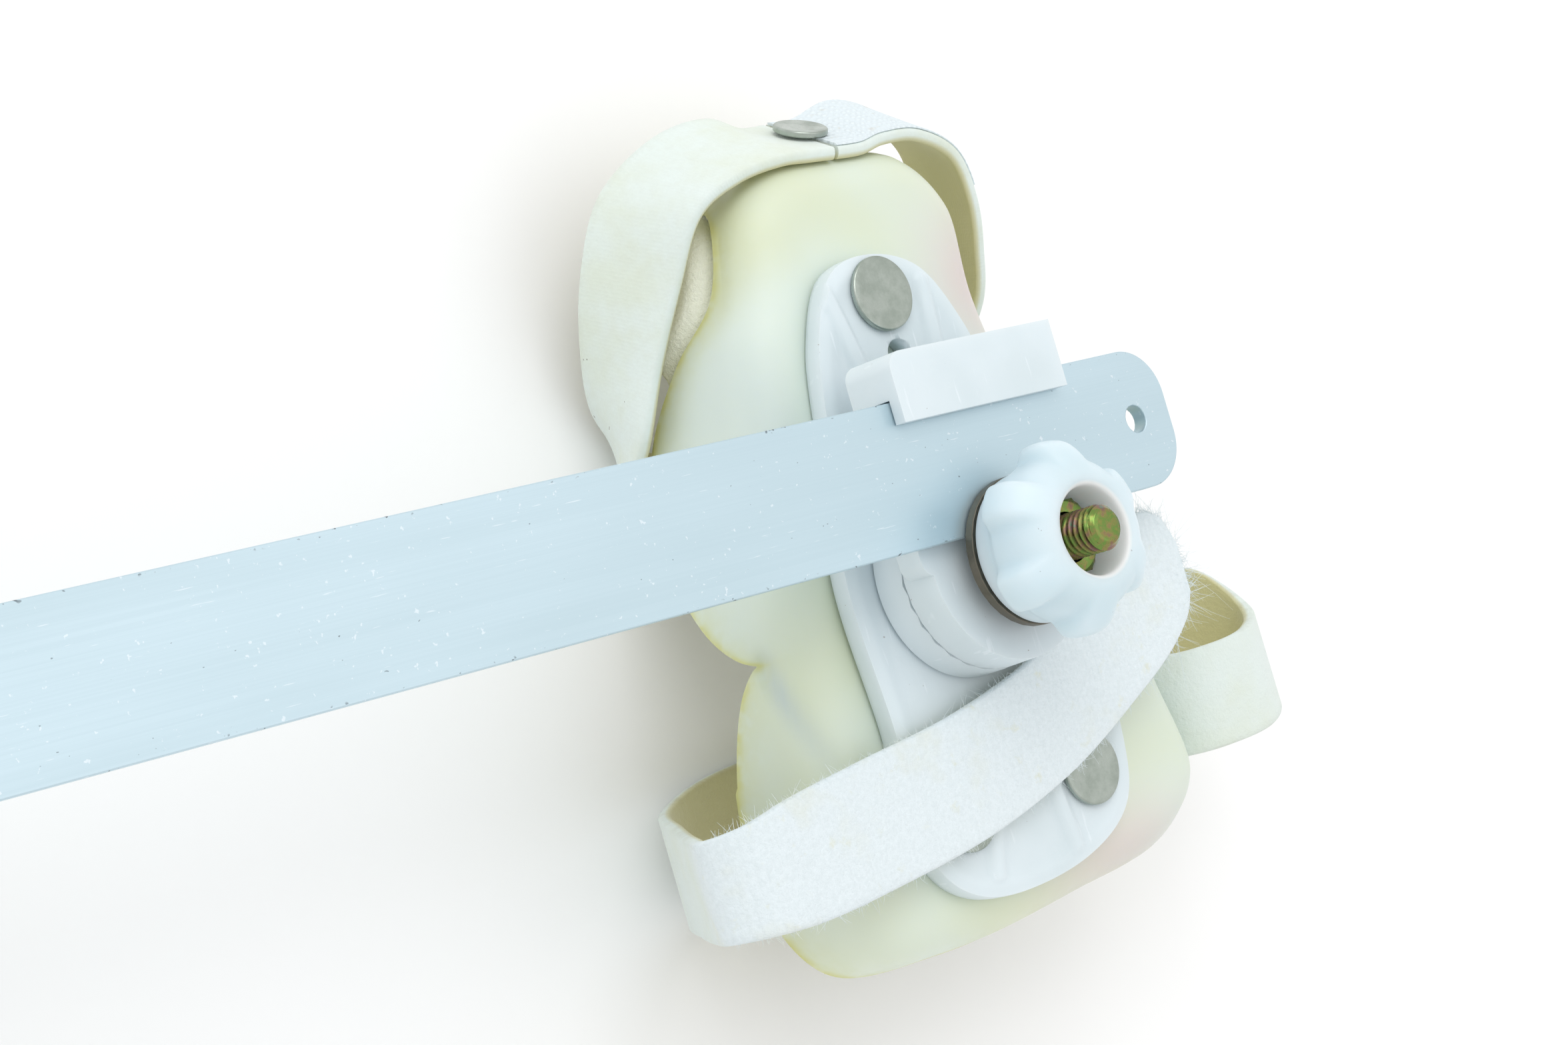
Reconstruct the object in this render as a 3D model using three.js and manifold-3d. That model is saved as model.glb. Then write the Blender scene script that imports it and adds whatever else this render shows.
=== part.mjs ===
// Foot abduction brace: a flat bar with a moulded sandal clamped at each end.
// Millimetres, +Z up. The brace lies sole side up, so the bar and the star knobs are on top and
// the sandals open downwards. X runs along the bar and Y points to the heels.
// Each sandal is drawn for the right end, in a frame on its clamp screw, and mirrored for the left.
import * as THREE from 'three';
import { mergeVertices } from 'three/addons/utils/BufferGeometryUtils.js';
import Module from 'manifold-3d';

const wasm = await Module();
wasm.setup();

// Clearance between touching pieces
const GAP = 0.3;

// Bar, and where the clamp screws stand beside it
const BAR = { length: 373, width: 25, thick: 3, corner: 9, holeRadius: 2.5, holeInset: 9, midY: 17.3 };
const SCREW_SPACING = 280;

// Heights above the surface that the brace lies on, from the sole up to the knob
const SOLE_TOP = 46;
const PLATE_BOTTOM = SOLE_TOP + GAP;
const PLATE_TOP = PLATE_BOTTOM + 4;
const HUB_SPLIT = PLATE_TOP + 7;
const BAR_BOTTOM = SOLE_TOP + 19;
const HUB_TOP = BAR_BOTTOM - GAP;
const BAR_TOP = BAR_BOTTOM + BAR.thick;
const WASHER = { radius: 13, thick: 1.8, bottom: BAR_TOP + GAP };
const KNOB = {
  radius: 15.5, lobe: 1.4, lobes: 6, lobeTurn: 25, steepness: 1.5,
  height: 16, bevel: 2.6, wellRadius: 7.6, wellDepth: 11,
};
const KNOB_BASE = { radius: 13, height: 5 };
const KNOB_BOTTOM = WASHER.bottom + WASHER.thick + GAP;

// Clamp hub, and the jaw that hooks over the heel side edge of the bar
const HUB = { radius: 18, taper: 0.8 };
const JAW = { halfWidth: 20, lip: 4, depth: 8, lipThick: 2.4, bottom: SOLE_TOP + 13.2, corner: 3 };
const SCREW = { radius: 4, clearRadius: 4.3, headRadius: 9, headThick: 2, top: KNOB_BOTTOM + 18.6 };
const NUT = { acrossFlats: 12.6, thick: 4.5 };

// Sole plate and its rivets
const PLATE = { bead: 2.2, beadHeight: 1.2, holeRadius: 1.6, holeX: 3, holeY: 37 };
const RIVET = { radius: 6.8, thick: 1.1 };

// Shell and liner walls
const SHELL = { thick: 3, fold: 9, flare: 2 };
const LINER = { thick: 3, proud: 1 };

// Straps
const STRAP_THICK = 2.4;
const SEGMENTS = { outline: 60, heelStrap: 72, foreStrap: 76, round: 32 };

// Plan of the shell, from the middle of the heel round by the inner side. wall is its depth there,
// and the short wall on the inner side is the notch at the instep.
const SHELL_PLAN = [
  { x: 5, y: 79, wall: 34 },
  { x: -8, y: 77.8, wall: 26 },
  { x: -17.5, y: 70, wall: 11 },
  { x: -21.5, y: 57, wall: 12 },
  { x: -26, y: 47.5, wall: 20 },
  { x: -29.5, y: 34, wall: 28 },
  { x: -33, y: 13, wall: 30 },
  { x: -35, y: 2, wall: 21 },
  { x: -35.3, y: -6, wall: 10.5 },
  { x: -36.8, y: -13, wall: 17 },
  { x: -38, y: -28, wall: 22 },
  { x: -38, y: -47, wall: 23 },
  { x: -31.5, y: -60, wall: 20 },
  { x: -12, y: -63, wall: 14 },
  { x: 18, y: -61.3, wall: 12 },
  { x: 43, y: -58, wall: 15 },
  { x: 54.5, y: -48, wall: 22 },
  { x: 51.5, y: -28, wall: 26 },
  { x: 46, y: -4, wall: 27 },
  { x: 39, y: 24, wall: 32 },
  { x: 34, y: 48, wall: 37 },
  { x: 33.7, y: 66.5, wall: 37 },
  { x: 24, y: 77.2, wall: 36 },
];
const SHELL_CENTRE = { x: 5, y: 5 };

// Plan of the sole plate, from the middle of the heel end round by the inner side
const PLATE_PLAN = [
  { x: 2, y: 60 },
  { x: -8.5, y: 57 },
  { x: -15, y: 44.5 },
  { x: -19, y: 28 },
  { x: -24.5, y: 4 },
  { x: -23.5, y: -22 },
  { x: -23, y: -47 },
  { x: -14, y: -55 },
  { x: 12, y: -55 },
  { x: 26, y: -48 },
  { x: 30, y: -34 },
  { x: 29, y: 0 },
  { x: 24, y: 28 },
  { x: 20, y: 43.5 },
  { x: 13.5, y: 56 },
];

const PLATE_RIVETS = [
  { name: 'heel', x: 2, y: 50.5 },
  { name: 'toe_outer', x: 18.5, y: -40 },
  { name: 'toe_inner', x: -13.5, y: -40.3 },
];

// Heel strap: a loop from its rivet at the back of the heel, out past the inner side, over the
// instep and back by the outer side. near is the edge next to the sole, far the other edge.
const HEEL_STRAP = [
  { nearX: 7, nearY: 77.6, nearZ: 45, farX: 7, farY: 87.5, farZ: 28 },
  { nearX: 0.5, nearY: 77.7, nearZ: 45, farX: 0.5, farY: 87.6, farZ: 28 },
  { nearX: -6, nearY: 77.6, nearZ: 44.8, farX: -6, farY: 90.35, farZ: 27.5 },
  { nearX: -15.5, nearY: 76, nearZ: 43.3, farX: -18, farY: 88.5, farZ: 26 },
  { nearX: -23.8, nearY: 71.5, nearZ: 40, farX: -29, farY: 81, farZ: 21.5 },
  { nearX: -27.5, nearY: 60.5, nearZ: 33.5, farX: -33.5, farY: 69.5, farZ: 16.5 },
  { nearX: -31.5, nearY: 48, nearZ: 27, farX: -33.5, farY: 57, farZ: 10.5 },
  { nearX: -35.5, nearY: 36, nearZ: 22.5, farX: -29.5, farY: 46, farZ: 4 },
  { nearX: -33, nearY: 25, nearZ: 9, farX: -21, farY: 37.5, farZ: 1.5 },
  { nearX: -10, nearY: 18, nearZ: 2.2, farX: -8, farY: 37, farZ: 1.4 },
  { nearX: 18, nearY: 17, nearZ: 2.2, farX: 18, farY: 37, farZ: 1.4 },
  { nearX: 38, nearY: 25, nearZ: 4, farX: 42, farY: 40, farZ: 1.4 },
  { nearX: 47, nearY: 38, nearZ: 16, farX: 52, farY: 47, farZ: 2.5 },
  { nearX: 48.5, nearY: 48.3, nearZ: 28, farX: 52.5, farY: 53, farZ: 9.5 },
  { nearX: 46.9, nearY: 58, nearZ: 34, farX: 51, farY: 62, farZ: 15 },
  { nearX: 44.8, nearY: 66.6, nearZ: 38, farX: 49, farY: 71.5, farZ: 19.5 },
  { nearX: 40.2, nearY: 74.8, nearZ: 41, farX: 44.5, farY: 81.5, farZ: 23.5 },
  { nearX: 30, nearY: 79, nearZ: 43.3, farX: 34.5, farY: 88, farZ: 26.5 },
  { nearX: 20, nearY: 79, nearZ: 44.4, farX: 23, farY: 90.2, farZ: 28.5 },
  { nearX: 13.5, nearY: 77.7, nearZ: 45, farX: 13.5, farY: 87.6, farZ: 28 },
];

// Forefoot strap: from its rivet on the outer wall round the outer loop, across under the foot
// space, out to the fold on the inner side and back over the sole to its free tip. lean is how far
// its toe side edge stands out from its heel side edge.
const FORE_STRAP = [
  { x: 56.5, y: -35, z: 23, width: 20, lean: 2.4 },
  { x: 56.5, y: -35.5, z: 34, width: 20, lean: 2 },
  { x: 63, y: -36, z: 42, width: 19.5 },
  { x: 78, y: -35, z: 42.5, width: 19.5 },
  { x: 87.5, y: -31, z: 36, width: 19.5 },
  { x: 86, y: -21.5, z: 26, width: 20 },
  { x: 75, y: -21, z: 13.5, width: 20 },
  { x: 59, y: -26, z: 3.4, width: 21 },
  { x: 38, y: -30, z: 1.5, width: 22 },
  { x: 5, y: -32, z: 1.4, width: 22 },
  { x: -28, y: -34, z: 1.95, width: 22 },
  { x: -43, y: -36.5, z: 8.5, width: 21 },
  { x: -53, y: -38.3, z: 23.5, width: 19.5 },
  { x: -62, y: -39.3, z: 38.5, width: 18 },
  { x: -65.8, y: -39.4, z: 46.3, width: 17.5 },
  { x: -62, y: -39.3, z: 51.4, width: 18.5 },
  { x: -52, y: -38.5, z: 52.8, width: 21 },
  { x: -36, y: -37, z: 53.2, width: 22 },
  { x: -11, y: -34, z: 53.6, width: 22 },
  { x: 12, y: -28, z: 54, width: 22 },
  { x: 30, y: -19, z: 55, width: 24 },
  { x: 41, y: -12, z: 56, width: 26 },
  { x: 47.2, y: -10, z: 56.4, width: 20 },
  { x: 49.8, y: -10.6, z: 56.6, width: 10 },
];

const STRAP_RIVET = { radius: 5, thick: 1.2 };

const FINISHES = {
  aluminium: { color: 0xa9adb2, roughness: 0.42, metalness: 1 },
  nickel: { color: 0xc9c8c2, roughness: 0.3, metalness: 1 },
  zinc: { color: 0xb7a75e, roughness: 0.35, metalness: 1 },
  steel: { color: 0x55585c, roughness: 0.45, metalness: 1 },
  white: { color: 0xe9e8ea, roughness: 0.5, metalness: 0 },
  cream: { color: 0xe6dfc6, roughness: 0.55, metalness: 0 },
  felt: { color: 0xeeeade, roughness: 0.95, metalness: 0 },
  heelWebbing: { color: 0xe7e1cf, roughness: 0.9, metalness: 0 },
  foreWebbing: { color: 0xf0eeea, roughness: 0.95, metalness: 0 },
};

function makeMesh(name, geometry, finish) {
  const mesh = new THREE.Mesh(geometry, new THREE.MeshStandardMaterial(FINISHES[finish]));
  mesh.name = name;
  return mesh;
}

// Joins and cuts
function toSolid(geometry) {
  const bare = geometry.clone();
  bare.deleteAttribute('normal');
  bare.deleteAttribute('uv');
  const merged = mergeVertices(bare, 1e-4);
  return new wasm.Manifold(new wasm.Mesh({
    numProp: 3,
    vertProperties: new Float32Array(merged.attributes.position.array),
    triVerts: new Uint32Array(merged.index.array),
  }));
}

function toGeometry(solid) {
  const { vertProperties, triVerts } = solid.getMesh();
  const geometry = new THREE.BufferGeometry();
  geometry.setAttribute('position', new THREE.BufferAttribute(new Float32Array(vertProperties), 3));
  geometry.setIndex(new THREE.BufferAttribute(new Uint32Array(triVerts), 1));
  return geometry;
}

function build(base, { add = [], cut = [] }) {
  let solid = toSolid(base);
  for (const piece of add) solid = solid.add(toSolid(piece));
  for (const piece of cut) solid = solid.subtract(toSolid(piece));
  return toGeometry(solid);
}

// The same piece for the other end of the bar
function mirrored(geometry) {
  const copy = geometry.index ? geometry.toNonIndexed() : geometry.clone();
  copy.deleteAttribute('normal');
  copy.deleteAttribute('uv');
  const points = copy.attributes.position;
  for (let i = 0; i < points.count; i += 3) {
    const second = new THREE.Vector3().fromBufferAttribute(points, i + 1);
    const third = new THREE.Vector3().fromBufferAttribute(points, i + 2);
    points.setXYZ(i + 1, third.x, third.y, third.z);
    points.setXYZ(i + 2, second.x, second.y, second.z);
  }
  copy.scale(-1, 1, 1);
  return mergeVertices(copy, 1e-4);
}

// Upright shapes
function cylinder(radius, bottom, top, { topRadius = radius, x = 0, y = 0 } = {}) {
  const geometry = new THREE.CylinderGeometry(topRadius, radius, top - bottom, SEGMENTS.round);
  return geometry.rotateX(Math.PI / 2).translate(x, y, (bottom + top) / 2);
}

function box(x0, x1, y0, y1, z0, z1) {
  return new THREE.BoxGeometry(x1 - x0, y1 - y0, z1 - z0)
    .translate((x0 + x1) / 2, (y0 + y1) / 2, (z0 + z1) / 2);
}

function extrude(shape, bottom, top, bevel = 0) {
  const geometry = new THREE.ExtrudeGeometry(shape, {
    depth: top - bottom - 2 * bevel,
    bevelEnabled: bevel > 0,
    bevelThickness: bevel,
    bevelSize: bevel,
    bevelOffset: -bevel,
    bevelSegments: 2,
    curveSegments: 10,
  });
  return geometry.translate(0, 0, bottom + bevel);
}

function roundedRectangle(x0, x1, y0, y1, radius) {
  const shape = new THREE.Shape();
  shape.moveTo(x0 + radius, y0);
  shape.lineTo(x1 - radius, y0);
  shape.absarc(x1 - radius, y0 + radius, radius, -Math.PI / 2, 0);
  shape.lineTo(x1, y1 - radius);
  shape.absarc(x1 - radius, y1 - radius, radius, 0, Math.PI / 2);
  shape.lineTo(x0 + radius, y1);
  shape.absarc(x0 + radius, y1 - radius, radius, Math.PI / 2, Math.PI);
  shape.lineTo(x0, y0 + radius);
  shape.absarc(x0 + radius, y0 + radius, radius, Math.PI, 1.5 * Math.PI);
  return shape;
}

// Closed smooth plan through a table's points, moved inwards by inset
function planPoints(plan, inset, count) {
  const curve = new THREE.CatmullRomCurve3(
    plan.map(({ x, y, wall = 0 }) => new THREE.Vector3(x, y, wall)), true, 'centripetal');
  const points = [];
  for (let i = 0; i < count; i += 1) {
    const at = curve.getPoint(i / count);
    const along = curve.getTangent(i / count);
    const length = Math.hypot(along.x, along.y);
    const outward = { x: along.y / -length, y: along.x / length };
    points.push({
      x: at.x + outward.x * inset,
      y: at.y + outward.y * inset,
      wall: at.z,
      inwardX: outward.x,
      inwardY: outward.y,
    });
  }
  return points;
}

// A closed skin over rings of points, with a single point at each end of the stack
function ringSkin(first, rings, last) {
  const count = rings[0].length;
  const position = [...first, ...rings.flat(2), ...last];
  const lastIndex = 1 + rings.length * count;
  const at = (ring, step) => 1 + ring * count + (step % count);
  const index = [];
  for (let step = 0; step < count; step += 1) {
    index.push(0, at(0, step), at(0, step + 1));
    index.push(lastIndex, at(rings.length - 1, step + 1), at(rings.length - 1, step));
    for (let ring = 0; ring + 1 < rings.length; ring += 1) {
      index.push(at(ring, step), at(ring + 1, step), at(ring + 1, step + 1));
      index.push(at(ring, step), at(ring + 1, step + 1), at(ring, step + 1));
    }
  }
  const geometry = new THREE.BufferGeometry();
  geometry.setAttribute('position', new THREE.Float32BufferAttribute(position, 3));
  geometry.setIndex(index);
  return geometry;
}

// One face of a shell wall: flat sole, rounded fold and a wall that flares to its rim
function cupRings(inset, top, extraWall) {
  const fold = SHELL.fold - inset;
  const plan = planPoints(SHELL_PLAN, inset, SEGMENTS.outline);
  const ring = (pointOf) => plan.map(pointOf);
  const sole = [0.4, 0.75].map((share) => ring((p) => [
    SHELL_CENTRE.x + (p.x + p.inwardX * fold - SHELL_CENTRE.x) * share,
    SHELL_CENTRE.y + (p.y + p.inwardY * fold - SHELL_CENTRE.y) * share,
    top,
  ]));
  const folded = [0, 30, 60, 90].map((degrees) => {
    const angle = THREE.MathUtils.degToRad(degrees);
    const back = fold * (1 - Math.sin(angle));
    return ring((p) => [p.x + p.inwardX * back, p.y + p.inwardY * back, top - fold * (1 - Math.cos(angle))]);
  });
  const wall = [0.5, 1].map((share) => ring((p) => {
    const height = SOLE_TOP - p.wall - extraWall;
    const out = SHELL.flare * share * (p.wall / SHELL_PLAN[0].wall);
    const start = top - fold;
    return [p.x - p.inwardX * out, p.y - p.inwardY * out, start + (height - start) * share];
  }));
  return [...sole, ...folded, ...wall];
}

function cup({ inset, thick, top, extraWall }) {
  const outer = cupRings(inset, top, extraWall);
  const inner = cupRings(inset + thick, top - thick, extraWall).reverse();
  const centre = (z) => [SHELL_CENTRE.x, SHELL_CENTRE.y, z];
  return ringSkin(centre(top), [...outer, ...inner], centre(top - thick));
}

// A band between two edge curves, with an even thickness
function band(nearPoints, farPoints, thick, steps, closed) {
  const near = new THREE.CatmullRomCurve3(nearPoints, closed, 'centripetal');
  const far = new THREE.CatmullRomCurve3(farPoints, closed, 'centripetal');
  const stations = closed ? steps : steps + 1;
  const position = [];
  for (let i = 0; i < stations; i += 1) {
    const u = i / steps;
    const across = far.getPoint(u).sub(near.getPoint(u)).normalize();
    const along = near.getTangent(u).add(far.getTangent(u)).normalize();
    const half = new THREE.Vector3().crossVectors(along, across).normalize().multiplyScalar(thick / 2);
    for (const [edge, side] of [[near, 1], [far, 1], [far, -1], [near, -1]]) {
      const corner = edge.getPoint(u).addScaledVector(half, side);
      position.push(corner.x, corner.y, corner.z);
    }
  }
  const index = [];
  for (let i = 0; i < (closed ? stations : stations - 1); i += 1) {
    const here = 4 * i;
    const next = 4 * ((i + 1) % stations);
    for (let k = 0; k < 4; k += 1) {
      const k2 = (k + 1) % 4;
      index.push(here + k, next + k, next + k2, here + k, next + k2, here + k2);
    }
  }
  if (!closed) {
    const end = 4 * (stations - 1);
    index.push(0, 1, 2, 0, 2, 3, end, end + 2, end + 1, end, end + 3, end + 2);
  }
  const geometry = new THREE.BufferGeometry();
  geometry.setAttribute('position', new THREE.Float32BufferAttribute(position, 3));
  geometry.setIndex(index);
  return geometry;
}

function barGeometry() {
  const half = BAR.length / 2;
  const y0 = BAR.midY - BAR.width / 2;
  const shape = roundedRectangle(-half, half, y0, y0 + BAR.width, BAR.corner);
  for (const side of [-1, 1]) {
    const hole = new THREE.Path();
    hole.absarc(side * (half - BAR.holeInset), BAR.midY, BAR.holeRadius, 0, 2 * Math.PI);
    shape.holes.push(hole);
  }
  return extrude(shape, BAR_BOTTOM, BAR_TOP);
}

function plateGeometry() {
  const outline = (inset) => planPoints(PLATE_PLAN, inset, SEGMENTS.outline)
    .map(({ x, y }) => new THREE.Vector2(x, y));
  const bead = new THREE.Shape(outline(0));
  bead.holes.push(new THREE.Path(outline(PLATE.bead)));
  const head = cylinder(SCREW.headRadius + GAP, PLATE_TOP - SCREW.headThick - 2 * GAP, PLATE_TOP + 1);
  const lacing = cylinder(PLATE.holeRadius, PLATE_BOTTOM - 1, PLATE_TOP + 1, { x: PLATE.holeX, y: PLATE.holeY });
  return build(extrude(new THREE.Shape(outline(0)), PLATE_BOTTOM, PLATE_TOP), {
    add: [extrude(bead, PLATE_TOP - 1, PLATE_TOP + PLATE.beadHeight)],
    cut: [head, lacing],
  });
}

function hubBaseGeometry() {
  const drum = cylinder(HUB.radius + HUB.taper, PLATE_TOP + GAP, HUB_SPLIT, {
    topRadius: HUB.radius + HUB.taper / 2,
  });
  return build(drum, { cut: [cylinder(SCREW.clearRadius, PLATE_TOP, HUB_SPLIT + 1)] });
}

// Upper hub with the jaw: the bar lies on it, between the jaw and the screw
function hubJawGeometry() {
  const barEdge = BAR.midY + BAR.width / 2;
  const jawBack = barEdge + JAW.depth;
  const drum = cylinder(HUB.radius + HUB.taper / 2, HUB_SPLIT + GAP, HUB_TOP, { topRadius: HUB.radius });
  const arm = extrude(
    roundedRectangle(-JAW.halfWidth, JAW.halfWidth, 0, jawBack, JAW.corner), JAW.bottom, HUB_TOP);
  const post = extrude(
    roundedRectangle(-JAW.halfWidth, JAW.halfWidth, barEdge + GAP, jawBack, JAW.corner),
    HUB_TOP - 1, BAR_TOP + GAP + JAW.lipThick);
  const face = box(-JAW.halfWidth, JAW.halfWidth, barEdge + GAP, jawBack - JAW.corner,
    HUB_TOP - JAW.corner, BAR_TOP + GAP + JAW.lipThick);
  const lip = box(-JAW.halfWidth, JAW.halfWidth, barEdge - JAW.lip, jawBack - JAW.corner,
    BAR_TOP + GAP, BAR_TOP + GAP + JAW.lipThick);
  return build(drum, {
    add: [arm, post, face, lip],
    cut: [cylinder(SCREW.clearRadius, HUB_SPLIT, HUB_TOP + 1)],
  });
}

function screwGeometry() {
  return build(cylinder(SCREW.radius, PLATE_TOP - GAP - 1, SCREW.top), {
    add: [cylinder(SCREW.headRadius, PLATE_TOP - GAP - SCREW.headThick, PLATE_TOP)],
  });
}

function washerGeometry() {
  return build(cylinder(WASHER.radius, WASHER.bottom, WASHER.bottom + WASHER.thick), {
    cut: [cylinder(SCREW.clearRadius, WASHER.bottom - 1, WASHER.bottom + WASHER.thick + 1)],
  });
}

function knobGeometry() {
  const outline = [];
  const steps = KNOB.lobes * 10;
  for (let i = 0; i < steps; i += 1) {
    const angle = (2 * Math.PI * i) / steps;
    const wave = Math.cos(KNOB.lobes * (angle - THREE.MathUtils.degToRad(KNOB.lobeTurn)));
    const radius = KNOB.radius + KNOB.lobe * Math.tanh(KNOB.steepness * wave);
    outline.push(new THREE.Vector2(radius * Math.cos(angle), radius * Math.sin(angle)));
  }
  const top = KNOB_BOTTOM + KNOB.height;
  const grip = extrude(new THREE.Shape(outline), KNOB_BOTTOM + KNOB_BASE.height, top, KNOB.bevel);
  return build(grip, {
    add: [cylinder(KNOB_BASE.radius, KNOB_BOTTOM, top - KNOB.bevel)],
    cut: [
      cylinder(KNOB.wellRadius, top - KNOB.wellDepth, top + 1),
      cylinder(SCREW.clearRadius, KNOB_BOTTOM - 1, top),
    ],
  });
}

function nutGeometry() {
  const bottom = KNOB_BOTTOM + KNOB.height - KNOB.wellDepth + GAP;
  const corner = NUT.acrossFlats / 2 / Math.cos(Math.PI / 6);
  const hexagon = new THREE.CylinderGeometry(corner, corner, NUT.thick, 6)
    .rotateX(Math.PI / 2).translate(0, 0, bottom + NUT.thick / 2);
  return build(hexagon, { cut: [cylinder(SCREW.clearRadius, bottom - 1, bottom + NUT.thick + 1)] });
}

function shellGeometry() {
  return cup({ inset: 0, thick: SHELL.thick, top: SOLE_TOP, extraWall: 0 });
}

function linerGeometry() {
  const inset = SHELL.thick + GAP;
  return cup({ inset, thick: LINER.thick, top: SOLE_TOP - inset, extraWall: LINER.proud });
}

function heelStrapGeometry() {
  const near = HEEL_STRAP.map((s) => new THREE.Vector3(s.nearX, s.nearY, s.nearZ));
  const far = HEEL_STRAP.map((s) => new THREE.Vector3(s.farX, s.farY, s.farZ));
  return band(near, far, STRAP_THICK, SEGMENTS.heelStrap, true);
}

function foreStrapGeometry() {
  const edge = (side) => FORE_STRAP.map(({ x, y, z, width, lean = 0 }) => new THREE.Vector3(
    x - (side * lean) / 2, y + (side * width) / 2, z));
  const [near, far] = [edge(1), edge(-1)];
  return band(near, far, STRAP_THICK, SEGMENTS.foreStrap, false);
}

// Sub-parts of one end of the brace, in the frame of its screw
function sandalPieces() {
  const rivets = PLATE_RIVETS.map(({ name, x, y }) => [
    `${name}_rivet`, cylinder(RIVET.radius, PLATE_TOP + GAP, PLATE_TOP + GAP + RIVET.thick, { x, y }), 'nickel']);
  const heelSeat = HEEL_STRAP[0];
  const foreSeat = FORE_STRAP[0];
  const rivetOut = STRAP_THICK / 2 + 2 * GAP + STRAP_RIVET.thick / 2;
  const strapRivet = () => new THREE.CylinderGeometry(
    STRAP_RIVET.radius, STRAP_RIVET.radius, STRAP_RIVET.thick, SEGMENTS.round);
  const heelLean = Math.atan2(heelSeat.farY - heelSeat.nearY, heelSeat.nearZ - heelSeat.farZ);
  const heelStrapRivet = strapRivet().translate(0, rivetOut, 0).rotateX(heelLean)
    .translate(heelSeat.nearX, (heelSeat.nearY + heelSeat.farY) / 2, (heelSeat.nearZ + heelSeat.farZ) / 2);
  const foreLean = Math.atan2(foreSeat.lean, foreSeat.width);
  const foreStrapRivet = strapRivet().translate(0, rivetOut, 0).rotateZ(foreLean - Math.PI / 2)
    .translate(foreSeat.x, foreSeat.y, foreSeat.z + STRAP_RIVET.radius + 1);
  return [
    ['shell', shellGeometry(), 'cream'],
    ['liner', linerGeometry(), 'felt'],
    ['sole_plate', plateGeometry(), 'white'],
    ...rivets,
    ['hub_base', hubBaseGeometry(), 'white'],
    ['hub_jaw', hubJawGeometry(), 'white'],
    ['screw', screwGeometry(), 'zinc'],
    ['washer', washerGeometry(), 'steel'],
    ['knob', knobGeometry(), 'white'],
    ['nut', nutGeometry(), 'zinc'],
    ['heel_strap', heelStrapGeometry(), 'heelWebbing'],
    ['heel_strap_rivet', heelStrapRivet, 'nickel'],
    ['forefoot_strap', foreStrapGeometry(), 'foreWebbing'],
    ['forefoot_strap_rivet', foreStrapRivet, 'nickel'],
  ];
}

const brace = new THREE.Group();
brace.add(makeMesh('bar', barGeometry(), 'aluminium'));
for (const [side, place] of [['right', 1], ['left', -1]]) {
  const end = new THREE.Group();
  end.position.x = (place * SCREW_SPACING) / 2;
  for (const [name, geometry, finish] of sandalPieces()) {
    end.add(makeMesh(`${name}_${side}`, place > 0 ? geometry : mirrored(geometry), finish));
  }
  brace.add(end);
}

// The origin is under the middle of the brace, on the surface that it lies on
const extent = new THREE.Box3().setFromObject(brace);
const middle = extent.getCenter(new THREE.Vector3());
brace.position.set(-middle.x, -middle.y, -extent.min.z);

export default brace;
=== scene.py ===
import math

import bmesh
import bpy
import numpy as np
from mathutils import Matrix


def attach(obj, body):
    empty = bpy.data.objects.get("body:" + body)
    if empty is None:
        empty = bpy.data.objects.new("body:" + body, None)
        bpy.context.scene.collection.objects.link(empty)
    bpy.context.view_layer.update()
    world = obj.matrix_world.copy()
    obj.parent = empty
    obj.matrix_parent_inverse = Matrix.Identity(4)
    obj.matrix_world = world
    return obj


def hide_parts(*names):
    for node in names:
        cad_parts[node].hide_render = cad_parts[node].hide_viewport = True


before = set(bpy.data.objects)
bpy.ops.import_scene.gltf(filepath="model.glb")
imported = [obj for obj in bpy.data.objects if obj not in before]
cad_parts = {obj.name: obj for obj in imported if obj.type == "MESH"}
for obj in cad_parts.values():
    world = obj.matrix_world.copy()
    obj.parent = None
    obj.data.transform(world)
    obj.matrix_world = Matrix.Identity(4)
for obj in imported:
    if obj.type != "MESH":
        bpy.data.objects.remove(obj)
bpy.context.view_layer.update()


# The bar is a flat aluminium strip with rounded ends and a small hole near each end. It is brushed
# along its length, its edges are lightly broken, and use has left nicks and fine scratches on it.

BAR_EDGE_BREAK = 0.00028
BAR_HALF_WIDTH = 0.0125
BAR_MIDDLE_Y = 0.003525
BAR_GREY = (0.61, 0.75, 0.82, 1)
BAR_DULL_GREY = (0.545, 0.68, 0.74, 1)
BAR_NICK_GREY = (0.10, 0.12, 0.14, 1)
BAR_BRIGHT = (0.92, 0.96, 1.0, 1)
# Angles between two faces, in degrees: below the first they are one flat, and above the others their
# edge is shaded sharp and is rounded
FLAT_BELOW = 0.4
SHARP_ABOVE = 35
ROUND_ABOVE = 38


def new_finish(name):
    """A material with one Principled shader: returns it, a maker of nodes and a setter of the shader."""
    material = bpy.data.materials.new(name)
    material.use_nodes = True
    tree = material.node_tree

    def put(node, inputs):
        for key, value in inputs.items():
            if isinstance(value, bpy.types.NodeSocket):
                tree.links.new(value, node.inputs[key])
            else:
                node.inputs[key].default_value = value

    def add(kind, inputs=None, **settings):
        node = tree.nodes.new(kind)
        for key, value in settings.items():
            setattr(node, key, value)
        put(node, inputs or {})
        return node

    def coat(inputs):
        put(tree.nodes["Principled BSDF"], inputs)

    return material, add, coat


def cloud(add, patches, detail=3.0, rough=0.6):
    """Noise from 0 to 1 over a piece, with that many patches to a metre along x, y and z."""
    where = add("ShaderNodeTexCoord").outputs["Object"]
    scale = np.broadcast_to(patches, 3).tolist()
    spots = add("ShaderNodeMapping", {"Vector": where, "Scale": scale}).outputs["Vector"]
    inputs = {"Vector": spots, "Scale": 1.0, "Detail": detail, "Roughness": rough}
    return add("ShaderNodeTexNoise", inputs).outputs["Fac"]


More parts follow.
